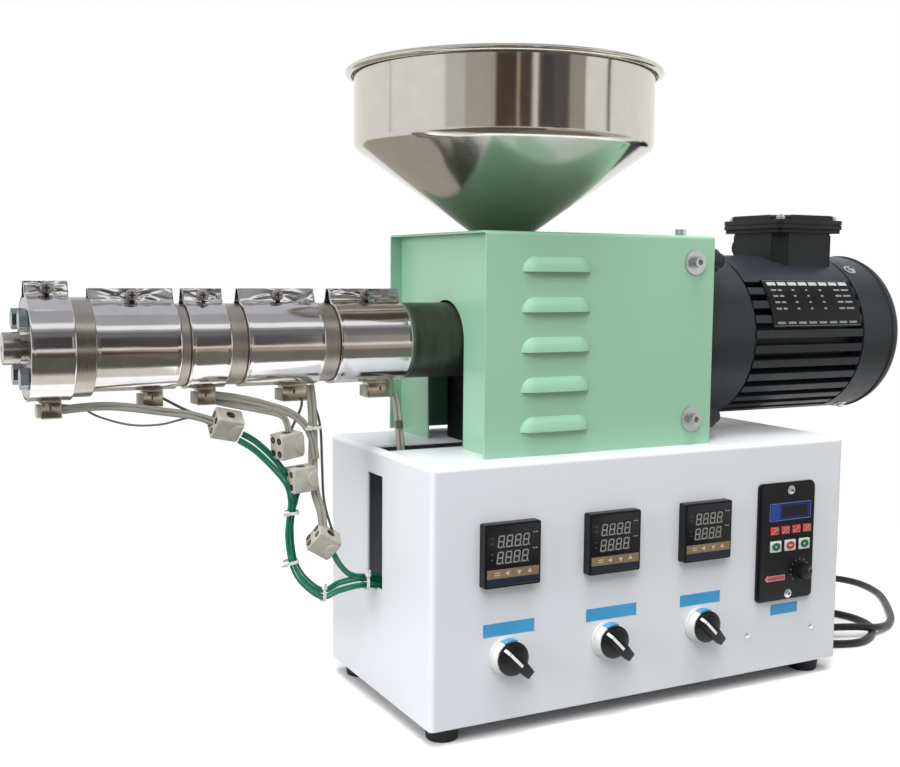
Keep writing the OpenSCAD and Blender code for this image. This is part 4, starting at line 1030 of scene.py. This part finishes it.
# Each sleeved pair's route and the radius of one sleeve
BOX_LEADS = (
    ([(-351, -3, 251), (-338, -6, 252.5), (-322, -8, 253), (-306, -10, 251.5), (-285, -11, 248),
      (-262, -12, 244), (-247, -12, 239)], 1.5),
    ([(-243, -3, 257), (-229, -7, 255), (-214, -10, 251.5), (-203, -11, 248), (-189, -12, 243),
      (-177, -12, 234), (-170, -12, 222), (-167, -12, 206)], 1.5),
    ([(-243, 1, 252.5), (-230, -5, 249.5), (-211, -10, 245.5), (-195, -12, 241), (-190, -12, 234),
      (-188, -12, 222)], 1.2),
    ([(-169, -4, 262.3), (-168, -6, 250), (-168, -8, 236), (-168, -9, 222), (-168.5, -10, 199),
      (-166.5, -10, 179), (-162.5, -11, 165), (-161, -12, 150)], 1.8),
    ([(-97.5, -3, 253), (-96.5, -6, 242), (-95, -6.5, 228), (-93.5, -6.5, 215), (-92.5, -6.5, 204)], 1.7),
)
SENSOR_CABLE = [(-351, 2, 254), (-338, 0, 252), (-326, -2, 245), (-305, -5, 238.5), (-284, -8, 238),
                (-262, -10, 242), (-248, -11, 236)]
DARK_LEADS = (
    [(-282, -3, 257), (-270, -7, 250), (-258, -10, 244), (-247, -12, 238)],
    [(-172, -3, 256), (-165, -6, 244), (-162, -9, 228), (-161.5, -11, 200), (-160, -11, 173),
     (-154, -12, 150), (-149, -13, 136)],
    [(-189, -11, 224), (-183, -11, 236), (-178, -10, 246), (-176, -6, 252)],
)
GREEN_WIRES = (
    [(-224, -10, 228), (-213, -10, 221), (-198, -10, 206), (-188, -10, 191), (-184, -10, 178),
     (-185, -10, 168), (-186.5, -10, 152), (-184, -10, 129), (-176, -10, 114), (-161, -10, 102),
     (-147, -9, 106), (-130, -7, 107), (-116, -4, 104), (-106, -2, 98)],
    [(-228, -14, 224), (-216, -14, 216), (-201, -14, 201), (-191, -14, 188), (-188, -14, 176),
     (-189, -14, 164), (-190.5, -14, 148), (-187, -14, 126), (-179, -14, 111), (-163, -14, 98),
     (-149, -13, 101), (-130, -11, 102.5), (-116, -8, 100), (-106, -6, 95)],
    [(-181, -12, 184), (-184, -12, 174), (-186.5, -12, 164)],
    [(-153, -12, 131), (-147, -11, 121), (-138, -9, 112), (-126, -7, 108), (-114, -4, 106), (-106, -2, 102)],
)
WIRE_STEP = 1.6


def pair(route, radius, seed):
    """Two strands side by side along the route, each wandering a little on its own."""
    path = smooth_path(route, WIRE_STEP, soften=6)
    side = np.cross(tangents(path), [0, 1, 0])
    side /= np.linalg.norm(side, axis=1)[:, None]
    run = np.linspace(0, 1, len(path))[:, None]
    wander = 0.35 * np.sin(math.pi * run) ** 0.5 * np.sin(run * 17 + seed) * (0, 1, 0)
    return join(*(tube(path + s * (1.02 * radius * side + wander), radius, 12) for s in (-1, 1)))


def wiring():
    """Tubes along the routes: sleeved pairs, the sensor's cable, dark leads, green pairs and tape."""
    leads = [pair(route, radius, k) for k, (route, radius) in enumerate(BOX_LEADS)]
    piece("glass_sleeved_leads", leads, glass_sleeve, replaces=("heater_leads",))
    cable = tube(smooth_path(SENSOR_CABLE, WIRE_STEP, soften=6), 0.75, 10)
    piece("sensor_cable", cable, steel_braid)
    dark = [tube(smooth_path(route, WIRE_STEP, soften=4), 1.0, 10) for route in DARK_LEADS]
    piece("dark_leads", dark, dark_braid)
    green = [pair(route, 1.15, k) for k, route in enumerate(GREEN_WIRES)]
    piece("green_wires", green, green_pvc, replaces=("sensor_leads",))
    route = smooth_path(BOX_LEADS[4][0], 1.0)
    half = len(route) // 2
    piece("sleeve_tape", tube(route[half - 3:half + 4], 3.3, 16), dark_braid)


# Each block's middle, and its turns about X, Y and Z in degrees
CONNECTORS = (((-237, -12, 236), (34, 15, 4)), ((-190, -12, 218), (4, -4, 19)),
              ((-179, -12, 191.5), (2, -3, 9)), ((-161, -12, 141), (28, 32, 0)))
CONNECTOR = np.array([20.5, 15.0, 19.0])
WIRE_HOLE_R = 2.5
# Thickness of the dark discs of painted shade that stand for holes
HOLE_D = 0.06


def connectors():
    """Ceramic blocks with a half-round boss in front, four wire holes in the left side and a screw on top;
    the holes and the screws' slots are thin discs and bars of painted shade.
    """
    half = CONNECTOR / 2
    boss = np.vstack([arc((0, 0), 7.0, 90, 270, 24), [[1.5, -7.0], [1.5, 7.0]]])
    blocks = [rounded_box(-half, half, 1.2), faced(slab(boss, -1, 0.9, 0.4), half[0] - 1.6, -half[1], 0)]
    holes, screws = [], []
    for y in (-3.6, 3.6):
        for z in (-4.9, 4.9):
            # Painted shade: each wire hole is a thin dark disc, with the screw's head on it
            holes.append(moved(puck(WIRE_HOLE_R, 0, HOLE_D, 24), (-half[0], y, z), TO_LEFT))
            screws.append(moved(puck(1.5, HOLE_D, 0.2, 20, 1.3), (-half[0], y, z), TO_LEFT))
    holes.append(moved(puck(3.4, 0, HOLE_D, 28), (0, 0, half[2])))
    screws.append(moved(puck(2.6, 0, 0.5, 28, 2.4), (0, 0, half[2] + HOLE_D)))
    slots = [moved(bars(((-2.2, -0.6), (2.2, 0.6)), width=0.8, low=0.5), (0, 0, half[2] + HOLE_D))]
    for name, parts, finish, slot, replaced in (
            ("ceramic_blocks", blocks, steatite, "connector_ceramic", ("ceramic_connectors",)),
            ("connector_hole_shade", holes, painted_recess_shade, "connector_ceramic", ()),
            ("connector_screws", screws, brass, "zinc_steel", ()),
            ("connector_screw_slots", slots, painted_recess_shade, "zinc_steel", ())):
        copies = [moved(part, place, about(1, ry) @ about(0, rx) @ about(2, rz))
                  for place, (rx, ry, rz) in CONNECTORS for part in parts]
        piece(name, copies, finish, replaces=replaced)


# Each tie's middle, its turn about Y in degrees and the size of its bundle
TIES = (((-167.5, -9.5, 230), 0, 9), ((-186.5, -12, 166), 0, 9), ((-187.5, -12, 128), -8, 10),
        ((-162, -12, 100), 90, 10), ((-124, -8, 104.5), 90, 11))


def cable_ties():
    """Strap round each bundle: a loop with round corners, its head, and the tail that sticks out of it."""
    parts = []
    for place, turn, size in TIES:
        loop = rounded(size + 0.6, size + 0.6, size * 0.36)
        loop = np.insert(np.vstack([loop, loop[:2]]), 2, 0, axis=1)
        half = size / 2 + 0.6
        tail = [(-half - 1, -half - 0.5, 0), (-half - 3, -half - 1.1, 0), (-half - 4.5, -half - 1.9, 0)]
        tie = join(ribbon(loop, (0, 0, -1), 2.3, 0.7), ribbon(tail, (0, 0, 1), 2.2, 0.7),
                   rounded_box((-half - 2.0, -half - 1.0, -1.8), (-half + 1.4, -half + 2.2, 1.8), 0.6))
        parts.append(moved(tie, place, about(1, turn)))
    piece("cable_ties", parts, tie_nylon, replaces=("lead_ties",))


# Motor: angles are degrees from the pad under the terminal box's left side

FIN_PITCH = 10.6
FIRST_GAP = 39.5
GAP_W = 6.4
GAP_D = 13.0


def stator():
    """Extruded body: arcs of the outer circle between parallel-sided gaps, and a smooth pad on top."""
    low, high = span("motor_stator")
    outer = (high[2] - low[2]) / 2
    inner = outer - GAP_D
    side = FIRST_GAP - FIN_PITCH * np.arange(12)
    middles = np.concatenate([180 - side, [270], 360 + side[::-1]])
    at_tip = math.degrees(math.asin(GAP_W / 2 / outer))
    at_root = math.degrees(math.asin(GAP_W / 2 / inner))
    outline = []
    for middle, following in zip(middles, np.append(middles[1:], middles[0] + 360)):
        count = max(4, int((following - middle) / 2.5))
        outline.append(arc((0, 0), inner, middle - at_root, middle + at_root, 3))
        outline.append(arc((0, 0), outer, middle + at_tip, following - at_tip, count))
    body = slab(np.concatenate(outline), low[0], high[0] - 2)
    neck = slab(circle(inner + 6, 72), high[0] - 2.2, high[0] + 0.2)
    part = moved(join(body, neck), (0, 0, AXIS_Z), TO_RIGHT)
    piece("finned_stator", part, motor_enamel, replaces=("motor_stator",), sharp=25)


CORNER_CUT = 11.0
LID_HALF = 39.2
LID_SCREW_AT = 31.4
NOTCH_R = 9.0
# Half width and corner radius of each rim of the lid, its lower and upper side below the top, and its edge
LID_RIMS = ((LID_HALF - 1.4, 4.0, -16.1, -12.5, 0.4), (LID_HALF, 5.0, -12.5, -8.9, 0.8),
            (LID_HALF - 0.8, 4.4, -9.2, -8.0, 0), (LID_HALF, 5.0, -8.3, -4.3, 0.8))


def terminal_box():
    """Box with cut corners and a column on each, and a lid of flanges under a plate notched at its screws."""
    low, high = span("motor_terminal_box")
    top = span("motor_terminal_lid")[1][2]
    middle = (low + high) / 2
    h = LID_HALF - 3.4
    box = [slab(four_turns([[h, -h + CORNER_CUT], [h, h - CORNER_CUT]]), low[2], top - 15.4)]
    column = slab(np.vstack([[[6.8, 30.0], [-6.8, 30.0]], arc((0, 4.4), 6.8, 180, 360, 12)]), 0, 1.2, 0.5)
    column = moved(column, ((2 * h - CORNER_CUT) / math.sqrt(2) - 0.3, 0, low[2] + 2), TO_RIGHT)
    box += [moved(column, turn=about(2, 45 + 90 * k)) for k in range(4)]
    plug = lathe([(0, -8), (9.5, -8), (9.5, 2.4), (8.4, 3.9), (0, 4.3)], 40)
    box.append(moved(plug, (-18, h, (low[2] + top) / 2 - 4), TO_BACK))
    notch = math.degrees(math.acos((LID_HALF - 1 - LID_SCREW_AT) / NOTCH_R))
    plate = four_turns(arc((LID_SCREW_AT, LID_SCREW_AT), NOTCH_R, -notch, notch - 270, 14))
    lid = [slab(rounded(2 * half, 2 * half, r), top + a, top + b, edge) for half, r, a, b, edge in LID_RIMS]
    lid.append(slab(plate, top - 4.5, top, 1.2))
    for name, parts, node in (("terminal_housing", box, "motor_terminal_box"),
                              ("terminal_cover", lid, "motor_terminal_lid")):
        part = moved(join(*parts), (middle[0], middle[1], 0))
        piece(name, part, terminal_plastic, replaces=(node,), sharp=30)


# Distance from the cabinet's left side and bearing round the motor of each screw of the cowl
COWL_SCREWS = ((465, 124.6), (465, 55.4), (476, 249.7), (476, 290.3))


def motor_fittings():
    """Screws of the fan cowl and of the terminal lid."""
    low, high = span("motor_fan_cowl")
    seat = (high[2] - low[2]) / 2 - 1.7
    washer = lathe([(0, 0), (6, 0), (6, 1.1), (5.7, 1.3), (0, 1.3)], 36)
    head = join(washer, moved(pan_head(3.8, 2.6), (0, 0, 1.2)))
    heads, slots = [], []
    for x, turn in COWL_SCREWS:
        out = np.array([0, math.cos(math.radians(turn)), math.sin(math.radians(turn))])
        facing = np.stack([[1, 0, 0], np.cross(out, [1, 0, 0]), out], axis=1)
        at = (CABINET[0] + x, 0, AXIS_Z) + out * seat
        heads.append(moved(head, at, facing))
        # The cowl screws' cross slots are painted shade
        slots.append(moved(cross_slot(1.9, 0.8, 3.78, 3.9), at, facing))
    low, high = span("motor_terminal_lid")
    middle = (low + high) / 2
    for sx in (-1, 1):
        for sy in (-1, 1):
            at = (middle[0] + sx * LID_SCREW_AT, middle[1] + sy * LID_SCREW_AT, high[2] - 4.4)
            heads.append(moved(pan_head(4.2, 4.2), at))
            # The lid screws' cross slots are painted shade
            slots.append(moved(cross_slot(2.0, 0.8, 4.18, 4.28), at))
    piece("motor_screws", heads, zinc_plate)
    piece("motor_screw_slots", slots, painted_recess_shade)


# Heights of the plate's edges above the motor's axis, and the print's distance from an edge
PLATE_LOW = 9.0
PLATE_HIGH = 50.0
PLATE_EDGE = 1.2
# Left end and length of the blocks in each row of the form
FORM_ROW = ((6, 6), (14, 4.5), (30, 3), (46, 2.4), (62, 3), (80, 7), (89, 9))


def nameplate_lines():
    """Bare form wrapped round the body, a frame and empty blocks: P = (x, -r cos(s / r), r sin(s / r))."""
    low, high = span("motor_nameplate")
    radius = math.hypot(low[1], PLATE_LOW)
    x0, x1 = low[0], high[0]
    s0 = radius * math.asin(PLATE_LOW / radius) + PLATE_EDGE
    s1 = radius * math.asin(PLATE_HIGH / radius) - PLATE_EDGE

    def block(width, height, x, s):
        return slab(rounded(width, height, 0.3, (x, s)), 0, INK)

    middle = ((x0 + x1) / 2, (s0 + s1) / 2, 0)
    form = [moved(bars(*sides_of((x1 - x0) / 2 - 1.5, (s1 - s0) / 2), width=0.35), middle)]
    heads = [block(9.8, 3.6, x0 + 9.5 + 12.1 * k, s1 - 3.4) for k in range(8)]
    form += [block(9.0, 2.0, x0 + 9.5 + 12.1 * k, s0 + 2.6) for k in range(8)]
    form += [block(length, 1.7, x0 + left + length / 2, s1 - 10.2 - 6.0 * row)
             for row in range(4) for left, length in FORM_ROW]
    for name, flat, finish in (("nameplate_form", form, worn_print),
                               ("nameplate_heading", heads, plate_print)):
        points, faces = join(*flat)
        turn = points[:, 1] / radius
        reach = radius + 0.02 + points[:, 2]
        wrapped = np.stack([points[:, 0], -reach * np.cos(turn), AXIS_Z + reach * np.sin(turn)], axis=1)
        piece(name, (wrapped, faces), finish)


# Mains lead: the route's points are those of part.scad

CORD_D = 7.0
LEAD_ROUTE = [
    (300, 65, 63), (322, 65, 62), (347, 68, 57), (374, 77, 47), (398, 91, 35), (420, 109, 23),
    (442, 125, 14.5), (467, 135, 8), (491, 134, 5), (510, 122, 3.5), (520, 103, 3.5), (520.5, 82, 3.5),
    (513, 59, 3.5), (497.5, 33.5, 3.5), (456, -14.5, 3.5), (432, -34, 4), (411, -44.5, 6), (393, -48, 8.5),
    (375, -44.5, 10.5), (356.5, -37, 10.5), (337.5, -26, 9), (322, -10, 7), (315, 10, 5), (321, 29, 3.5),
    (337, 42, 3.5), (358, 46.5, 3.5), (380, 43, 3.5), (398, 31, 3.5), (410, 12, 3.5), (414, -9, 3.5),
    (409, -30, 3.5), (396, -46, 3.5), (379, -58, 3.5), (359, -65, 3.5), (338, -60.5, 3.5),
    (320, -48, 3.5), (306, -30, 3.5), (299, -8, 3.5), (297, 20, 3.5), (303, 76, 3.5), (306, 101, 3.5),
]
PLUG_ROUTE = [(306, 101, 10.8), (304.5, 112, 10.5), (299, 122, 10), (290, 129, 9.5), (278.5, 132.5, 9),
              (268.3, 133, 8.5)]
COIL_AT = (343.5, 101.0)
COIL_R = 37.5
COIL_TURNS = 3
TIE_TURN = -25


def coil_path():
    """Turns from the coil's left, clockwise: outer, then inner, then the last one laid on top of both."""
    t = np.linspace(0, COIL_TURNS, COIL_TURNS * 90 + 1)

    def ease(start, end):
        part = np.clip((t - start) / (end - start), 0, 1)
        return part ** 2 * (3 - 2 * part)

    beside = CORD_D / 2 + 0.1
    radius = COIL_R + beside * ease(0, 0.2) - 2 * beside * ease(0.8, 1.0) + beside * ease(1.66, 1.8)
    height = CORD_D / 2 + 7.3 * ease(1.5, 1.68)
    angle = np.radians(180 - 360 * t)
    x, y = COIL_AT[0] + radius * np.cos(angle), COIL_AT[1] + radius * np.sin(angle)
    return np.stack([x, y, height], axis=1)


def coil_tie():
    """Strap round the coil's three turns, with its head on top and the cut tail beside it."""
    loop = rounded(15.4, 14.0, 4.5, (COIL_R, 7.9))
    loop = np.insert(np.vstack([loop, loop[:2]]), 1, 0, axis=1)
    strap = ribbon(loop, (0, 1, 0), 4.6, 0.8)
    head = rounded_box((COIL_R - 2, -3.6, 13.6), (COIL_R + 4, 3.6, 18.0), 0.8)
    tail = ribbon([(COIL_R - 1, 0, 16), (COIL_R - 6, 0, 17.5), (COIL_R - 11, 0, 18)], (0, 1, 0), 4.2, 0.8)
    return moved(join(strap, head, tail), (COIL_AT[0], COIL_AT[1], 0), about(2, TIE_TURN))


# The plug's axis and the face that its pins leave
PLUG_Y = 133.0
PLUG_Z = 8.5
PLUG_X = 220.0
# Distance from that face, half width and half height of each section of the grip
GRIP = [(0, 0.01, 0.01), (0, 12.2, 7.7), (0.5, 12.8, 8.3), (1.5, 13, 8.5), (12, 13, 8.5), (15, 12.4, 8.1),
        (18, 12.1, 7.7), (26, 11.8, 7.4), (31, 11.4, 7.2), (35, 10, 6.8), (38.5, 7.8, 6.2), (40, 6.2, 5.8)]


def plug():
    """Moulded plug: sections P(u, v) = (x, a(u) outline(v)) from the pins' face to the ribbed neck."""
    sections = list(GRIP)
    for k in range(4):
        for x, size, step in ((41, 5.6, 0.3), (43.2, 5.5, 0.3), (43.4, 4.6, 0.2), (44.6, 4.5, 0.2)):
            sections.append((x + 4 * k, size - step * k, size - step * k))
    sections.append((57.2, 3.6, 3.6))
    rings = []
    for x, a, b in sections:
        outline = rounded(2 * a, 2 * b, min(a, b) * np.clip(0.45 + (x - 30) * 0.05, 0.45, 0.99), steps=6)
        rings.append(np.insert(outline, 0, x, axis=1) + (PLUG_X, PLUG_Y, PLUG_Z))
    parts = [surface(np.stack(rings), closed_v=True)]
    pins = []
    blade = [(-18, -3.25), (0.5, -3.25), (0.5, 3.25), (-18, 3.25), (-19, 2.2), (-19, -2.2)]
    blade = slab(blade, -0.75, 0.75, 0.15)
    for side in (-1, 1):
        y = PLUG_Y + side * 11.9
        for k in range(4):
            x = PLUG_X + 17.5 + 3.4 * k
            parts.append(rounded_box((x, y - 0.8, PLUG_Z - 4.5), (x + 1.5, y + 0.8, PLUG_Z + 4.5), 0.6))
        pins.append(moved(blade, (PLUG_X + 0.5, PLUG_Y + side * 6.35, PLUG_Z), TO_FRONT))
    return parts, pins


def mains_lead():
    """Tube along the route, the coil and the way to the plug, with the plug and the coil's tie."""
    body, pins = plug()
    things = [piece("mains_plug", body, cord_moulding, replaces=("power_plug",)),
              piece("mains_plug_blades", pins, zinc_plate, sharp=30),
              piece("coil_tie", coil_tie(), black_nylon)]
    route = smooth_path(LEAD_ROUTE, 3.0, soften=30)
    path = even(np.vstack([route[:-1], coil_path()[:-1], smooth_path(PLUG_ROUTE, 3.0)]), 2.5)
    lead = piece("mains_lead", tube(path, CORD_D / 2, 16), cord_pvc,
                 replaces=("power_cord", "cord_coil"))


# Studio: places in metres

CAMERA_AT = (-0.4795, -0.8418, 0.3486)
CAMERA_TURN = (-27.2482, 5.44710, 0.483115)
LENS = 46.58


def aimed(name, data, right, up, back, at):
    """Camera or lamp at the place, looking against back."""
    matrix = np.eye(4)
    matrix[:3, :3] = np.stack([right, up, back], axis=1)
    matrix[:3, 3] = at
    thing = linked(name, data)
    thing.matrix_world = matrix.T
    return thing


def camera():
    """Looks along the photograph's line of sight: azimuth, elevation and roll in degrees."""
    az, el, roll = (math.radians(a) for a in CAMERA_TURN)
    back = np.array([math.sin(az) * math.cos(el), -math.cos(az) * math.cos(el), math.sin(el)])
    level = np.array([math.cos(az), math.sin(az), 0.0])
    above = np.cross(back, level)
    data = bpy.data.cameras.new("camera")
    data.lens = LENS
    data.sensor_width = 36.0
    data.sensor_fit = "HORIZONTAL"
    bpy.context.scene.camera = aimed("camera", data, math.cos(roll) * level + math.sin(roll) * above,
                                     math.cos(roll) * above - math.sin(roll) * level, back, CAMERA_AT)


def staged(name, part, finish, mirrored_only=False):
    """A thing of the studio, which the camera sees or only mirrors show."""
    mesh = new_mesh(name, part)
    mesh.shade_smooth()
    mesh.materials.append(finish)
    thing = linked(name, mesh)
    if mirrored_only:
        for ray in ("camera", "diffuse", "transmission", "shadow"):
            setattr(thing, "visible_" + ray, False)


FLOOR_R = 2000.0
# Where the floor starts and ends to fade, in metres from the middle
FADE = (0.3, 0.95)


def floor():
    """Pale disc that fades out into the white of the world, so that it has no edge."""
    finish, tree, shader, coords = start_finish("pale_floor", gloss=0.0)
    blended(tree, shader, add(tree, "LightPath").outputs["Is Diffuse Ray"], "#FAFAFA", "#7E7E7E")
    shader.inputs["Roughness"].default_value = 0.9
    away = add(tree, "VectorMath", {0: coords}, operation="LENGTH").outputs["Value"]
    fade = spread(tree, away, *FADE, interpolation_type="SMOOTHSTEP")
    clear = add(tree, "BsdfTransparent")
    mix = add(tree, "MixShader", {0: fade, 1: shader.outputs[0], 2: clear.outputs[0]})
    output = next(n for n in tree.nodes if n.type == "OUTPUT_MATERIAL")
    tree.links.new(mix.outputs[0], output.inputs["Surface"])
    radius = np.linspace(0, FLOOR_R, 9)
    staged("pale_floor", lathe(np.stack([radius, 0 * radius], axis=1), 48), finish)


# How much light the world gives the object
WORLD_LIGHT = 0.48


def world():
    """White to the eye and in what metal shows, and a plain pale grey to what lights the object."""
    bpy.context.scene.world = bpy.data.worlds.new("studio")
    tree = empty_tree(bpy.context.scene.world)
    ray = add(tree, "LightPath").outputs
    seen = larger(tree, larger(tree, ray["Is Camera Ray"], ray["Is Transmission Ray"]), ray["Is Glossy Ray"])
    strength = spread(tree, seen, 0.0, 1.0, WORLD_LIGHT, 1.0)
    back = add(tree, "Background", {"Color": (1, 1, 1, 1), "Strength": strength})
    add(tree, "OutputWorld", {"Surface": back.outputs[0]})


# What the room shows to polished metal: from and to bearing, from and to height in degrees, and the colour
ROOM = (
    (-162, -147, 0, 25, "#D6D6D2"), (-147, -125.4, 0, 25, "#B9B5AD"), (-125.4, -110, 0, 25, "#4A3D35"),
    (-110, -108.8, 0, 25, "#F2DFC8"), (-108.8, -99.2, 0, 25, "#4A3D35"), (-99.2, -95.2, 0, 25, "#F4F2EE"),
    (-95.2, -84, 0, 25, "#484645"), (-84, -71.8, 5, 18, "#5A5858"), (-84, -71.8, 18, 25, "#646367"),
    (-84, -73, -2, 5, "#604640"), (-73, -60.2, 0, 5, "#B4A896"), (-71.8, -60.2, 5, 18, "#AAA69F"),
    (-71.8, -60.2, 18, 25, "#88857F"), (-60.2, -59.2, 0, 25, "#6A4A3A"), (-39.4, -36.4, 3, 22, "#4A4452"),
    (149, 149.6, 0, 25, "#3A3A3A"), (-180, 0, 25, 38, "#7E7E82"), (-180, 0, 38, 44, "#ACACB0"),
    (-180, 0, 44, 56, "#FFFFFF"), (-180, 0, 56, 88, "#BCBCC2"), (0, 180, 34, 88, "#D6D6DC"),
)
ROOM_R = 3000.0
ROOM_Z = 300.0
# The white patch is the ceiling's lamp
CEILING_LAMP = 1.3
# What lies on the bench: corners, and the colour that polished metal shows of it
BENCH = (
    ([(-1500, -950), (-150, -950), (-150, -240), (-360, -195), (-1500, -60)], "#6A6760"),
    ([(-150, -950), (650, -950), (650, -345), (-60, -270), (-150, -240)], "#7E7B74"),
    ([(-600, -240), (-200, -240), (-200, -60), (-600, -60)], "#F6F1E6"),
    ([(-2000, -2600), (40, -2600), (40, -950), (-2000, -950)], "#5C463F"),
    ([(40, -2600), (650, -2600), (650, -950), (40, -950)], "#BEAE97"),
    ([(650, -2600), (2400, -2600), (2400, -345), (650, -345)], "#C6C2B7"),
    ([(-700, 190), (700, 190), (700, 1500), (-700, 1500)], "#B4AFA6"),
)


def glow(name, colour):
    """Finish that shows its own colour, whatever light falls on it."""
    finish = bpy.data.materials.new(name)
    tree = empty_tree(finish)
    strength = CEILING_LAMP if colour == "#FFFFFF" else 1.0
    light = add(tree, "Emission", {"Color": linear(colour), "Strength": strength})
    add(tree, "OutputMaterial", {"Surface": light.outputs[0]})
    return finish


def room():
    """Patches of a sphere, P = centre + r (cos e cos a, cos e sin a, sin e), that only mirrors show."""
    for k, (a0, a1, e0, e1, colour) in enumerate(ROOM):
        a = np.radians(np.linspace(a0, a1, 2 + int((a1 - a0) / 4)))[:, None]
        e = np.radians(np.linspace(e0, e1, 2 + int((e1 - e0) / 4)))[None, :]
        points = ROOM_R * np.stack([np.cos(e) * np.cos(a), np.cos(e) * np.sin(a), np.sin(e) + 0 * a], axis=-1)
        staged(f"room_{k}", surface(points + (0, 0, ROOM_Z)), glow(f"room_{k}", colour), mirrored_only=True)
    for k, (corners, colour) in enumerate(BENCH):
        staged(f"bench_{k}", slab(corners, 0.4, 0.5), glow(f"bench_{k}", colour), mirrored_only=True)


def lamp(name, at, aim, size, power):
    """Square soft lamp that looks at the aim point."""
    data = bpy.data.lights.new(name, "AREA")
    data.shape = "RECTANGLE"
    data.size, data.size_y = size
    data.energy = power
    back = np.array(at, float) - np.array(aim, float)
    back /= np.linalg.norm(back)
    right = np.cross([0, 0, 1], back)
    right /= np.linalg.norm(right)
    aimed(name, data, right, np.cross(back, right), back, at).visible_glossy = False


def lights():
    """Soft lamps from the left, from above and from the camera's side."""
    lamp("left_softbox", (-2.7, -0.4, 1.0), (0, 0, 0.25), (1.2, 1.2), 42)
    lamp("top_softbox", (-0.2, -0.3, 2.7), (0, 0, 0.2), (1.8, 1.4), 80)
    lamp("key_softbox", (-1.2, -1.9, 2.4), (0, 0, 0.2), (1.4, 1.4), 48)


# Nodes that keep their shape, or whose edges are rounded by so many millimetres: finish, slot, edge and names
DRESS = (
    (white_coat, "white_paint", 0, "cabinet_shell cabinet_rear_panel cabinet_base_plate"),
    (foot_rubber, "foot_rubber", 0.8, "rubber_feet"),
    (black_abs, "controller_plastic", 0.4, CONTROLLERS),
    (black_abs, "speed_plastic", 0.4, "speed_controller"),
    (white_moulding, "bezel_plastic", 0.4, "selector_bezels"),
    (green_enamel, "green_paint", 0, "cover_shell cover_end_plate"),
    (zinc_plate, "zinc_steel", 0.3, "cover_bolts"),
    (blacked_steel, "dark_steel", 0, "motor_mount_plate thrust_housing feed_block"),
    (turned_steel, "machined_steel", 0.6, "die_head"),
    (turned_steel, "machined_steel", 0.4, "die_nozzle"),
    (blued_zinc, "zinc_steel", 0.4, "die_bolts"),
    (motor_enamel, "motor_paint", 1.5, "gear_case"),
    (motor_enamel, "motor_paint", 0, "motor_fan_cowl"),
    (plate_black, "nameplate_plastic", 0, "motor_nameplate"),
    (black_abs, "plug_plastic", 0.4, "cord_gland"),
)


def dress_nodes():
    """Gives each of the table's nodes its finish."""
    for finish, slot, edge, names in DRESS:
        for node in names.split():
            if edge:
                softened(node, edge, finish)
            else:
                mesh = nodes[node].data
                mesh.materials.clear()
                mesh.materials.append(finish)


dress_nodes()
controller_faces()
selectors()
speed_display()
speed_keys()
speed_dial()
cabinet_screws()
paper_labels()
hopper()
barrel()
for band in range(1, 6):
    band_sheet(f"heater_band_{band}", seed=band)
band_fittings()
wiring()
connectors()
cable_ties()
stator()
terminal_box()
motor_fittings()
nameplate_lines()
mains_lead()
floor()
world()
room()
lights()
camera()
bpy.context.scene.view_settings.view_transform = "Standard"
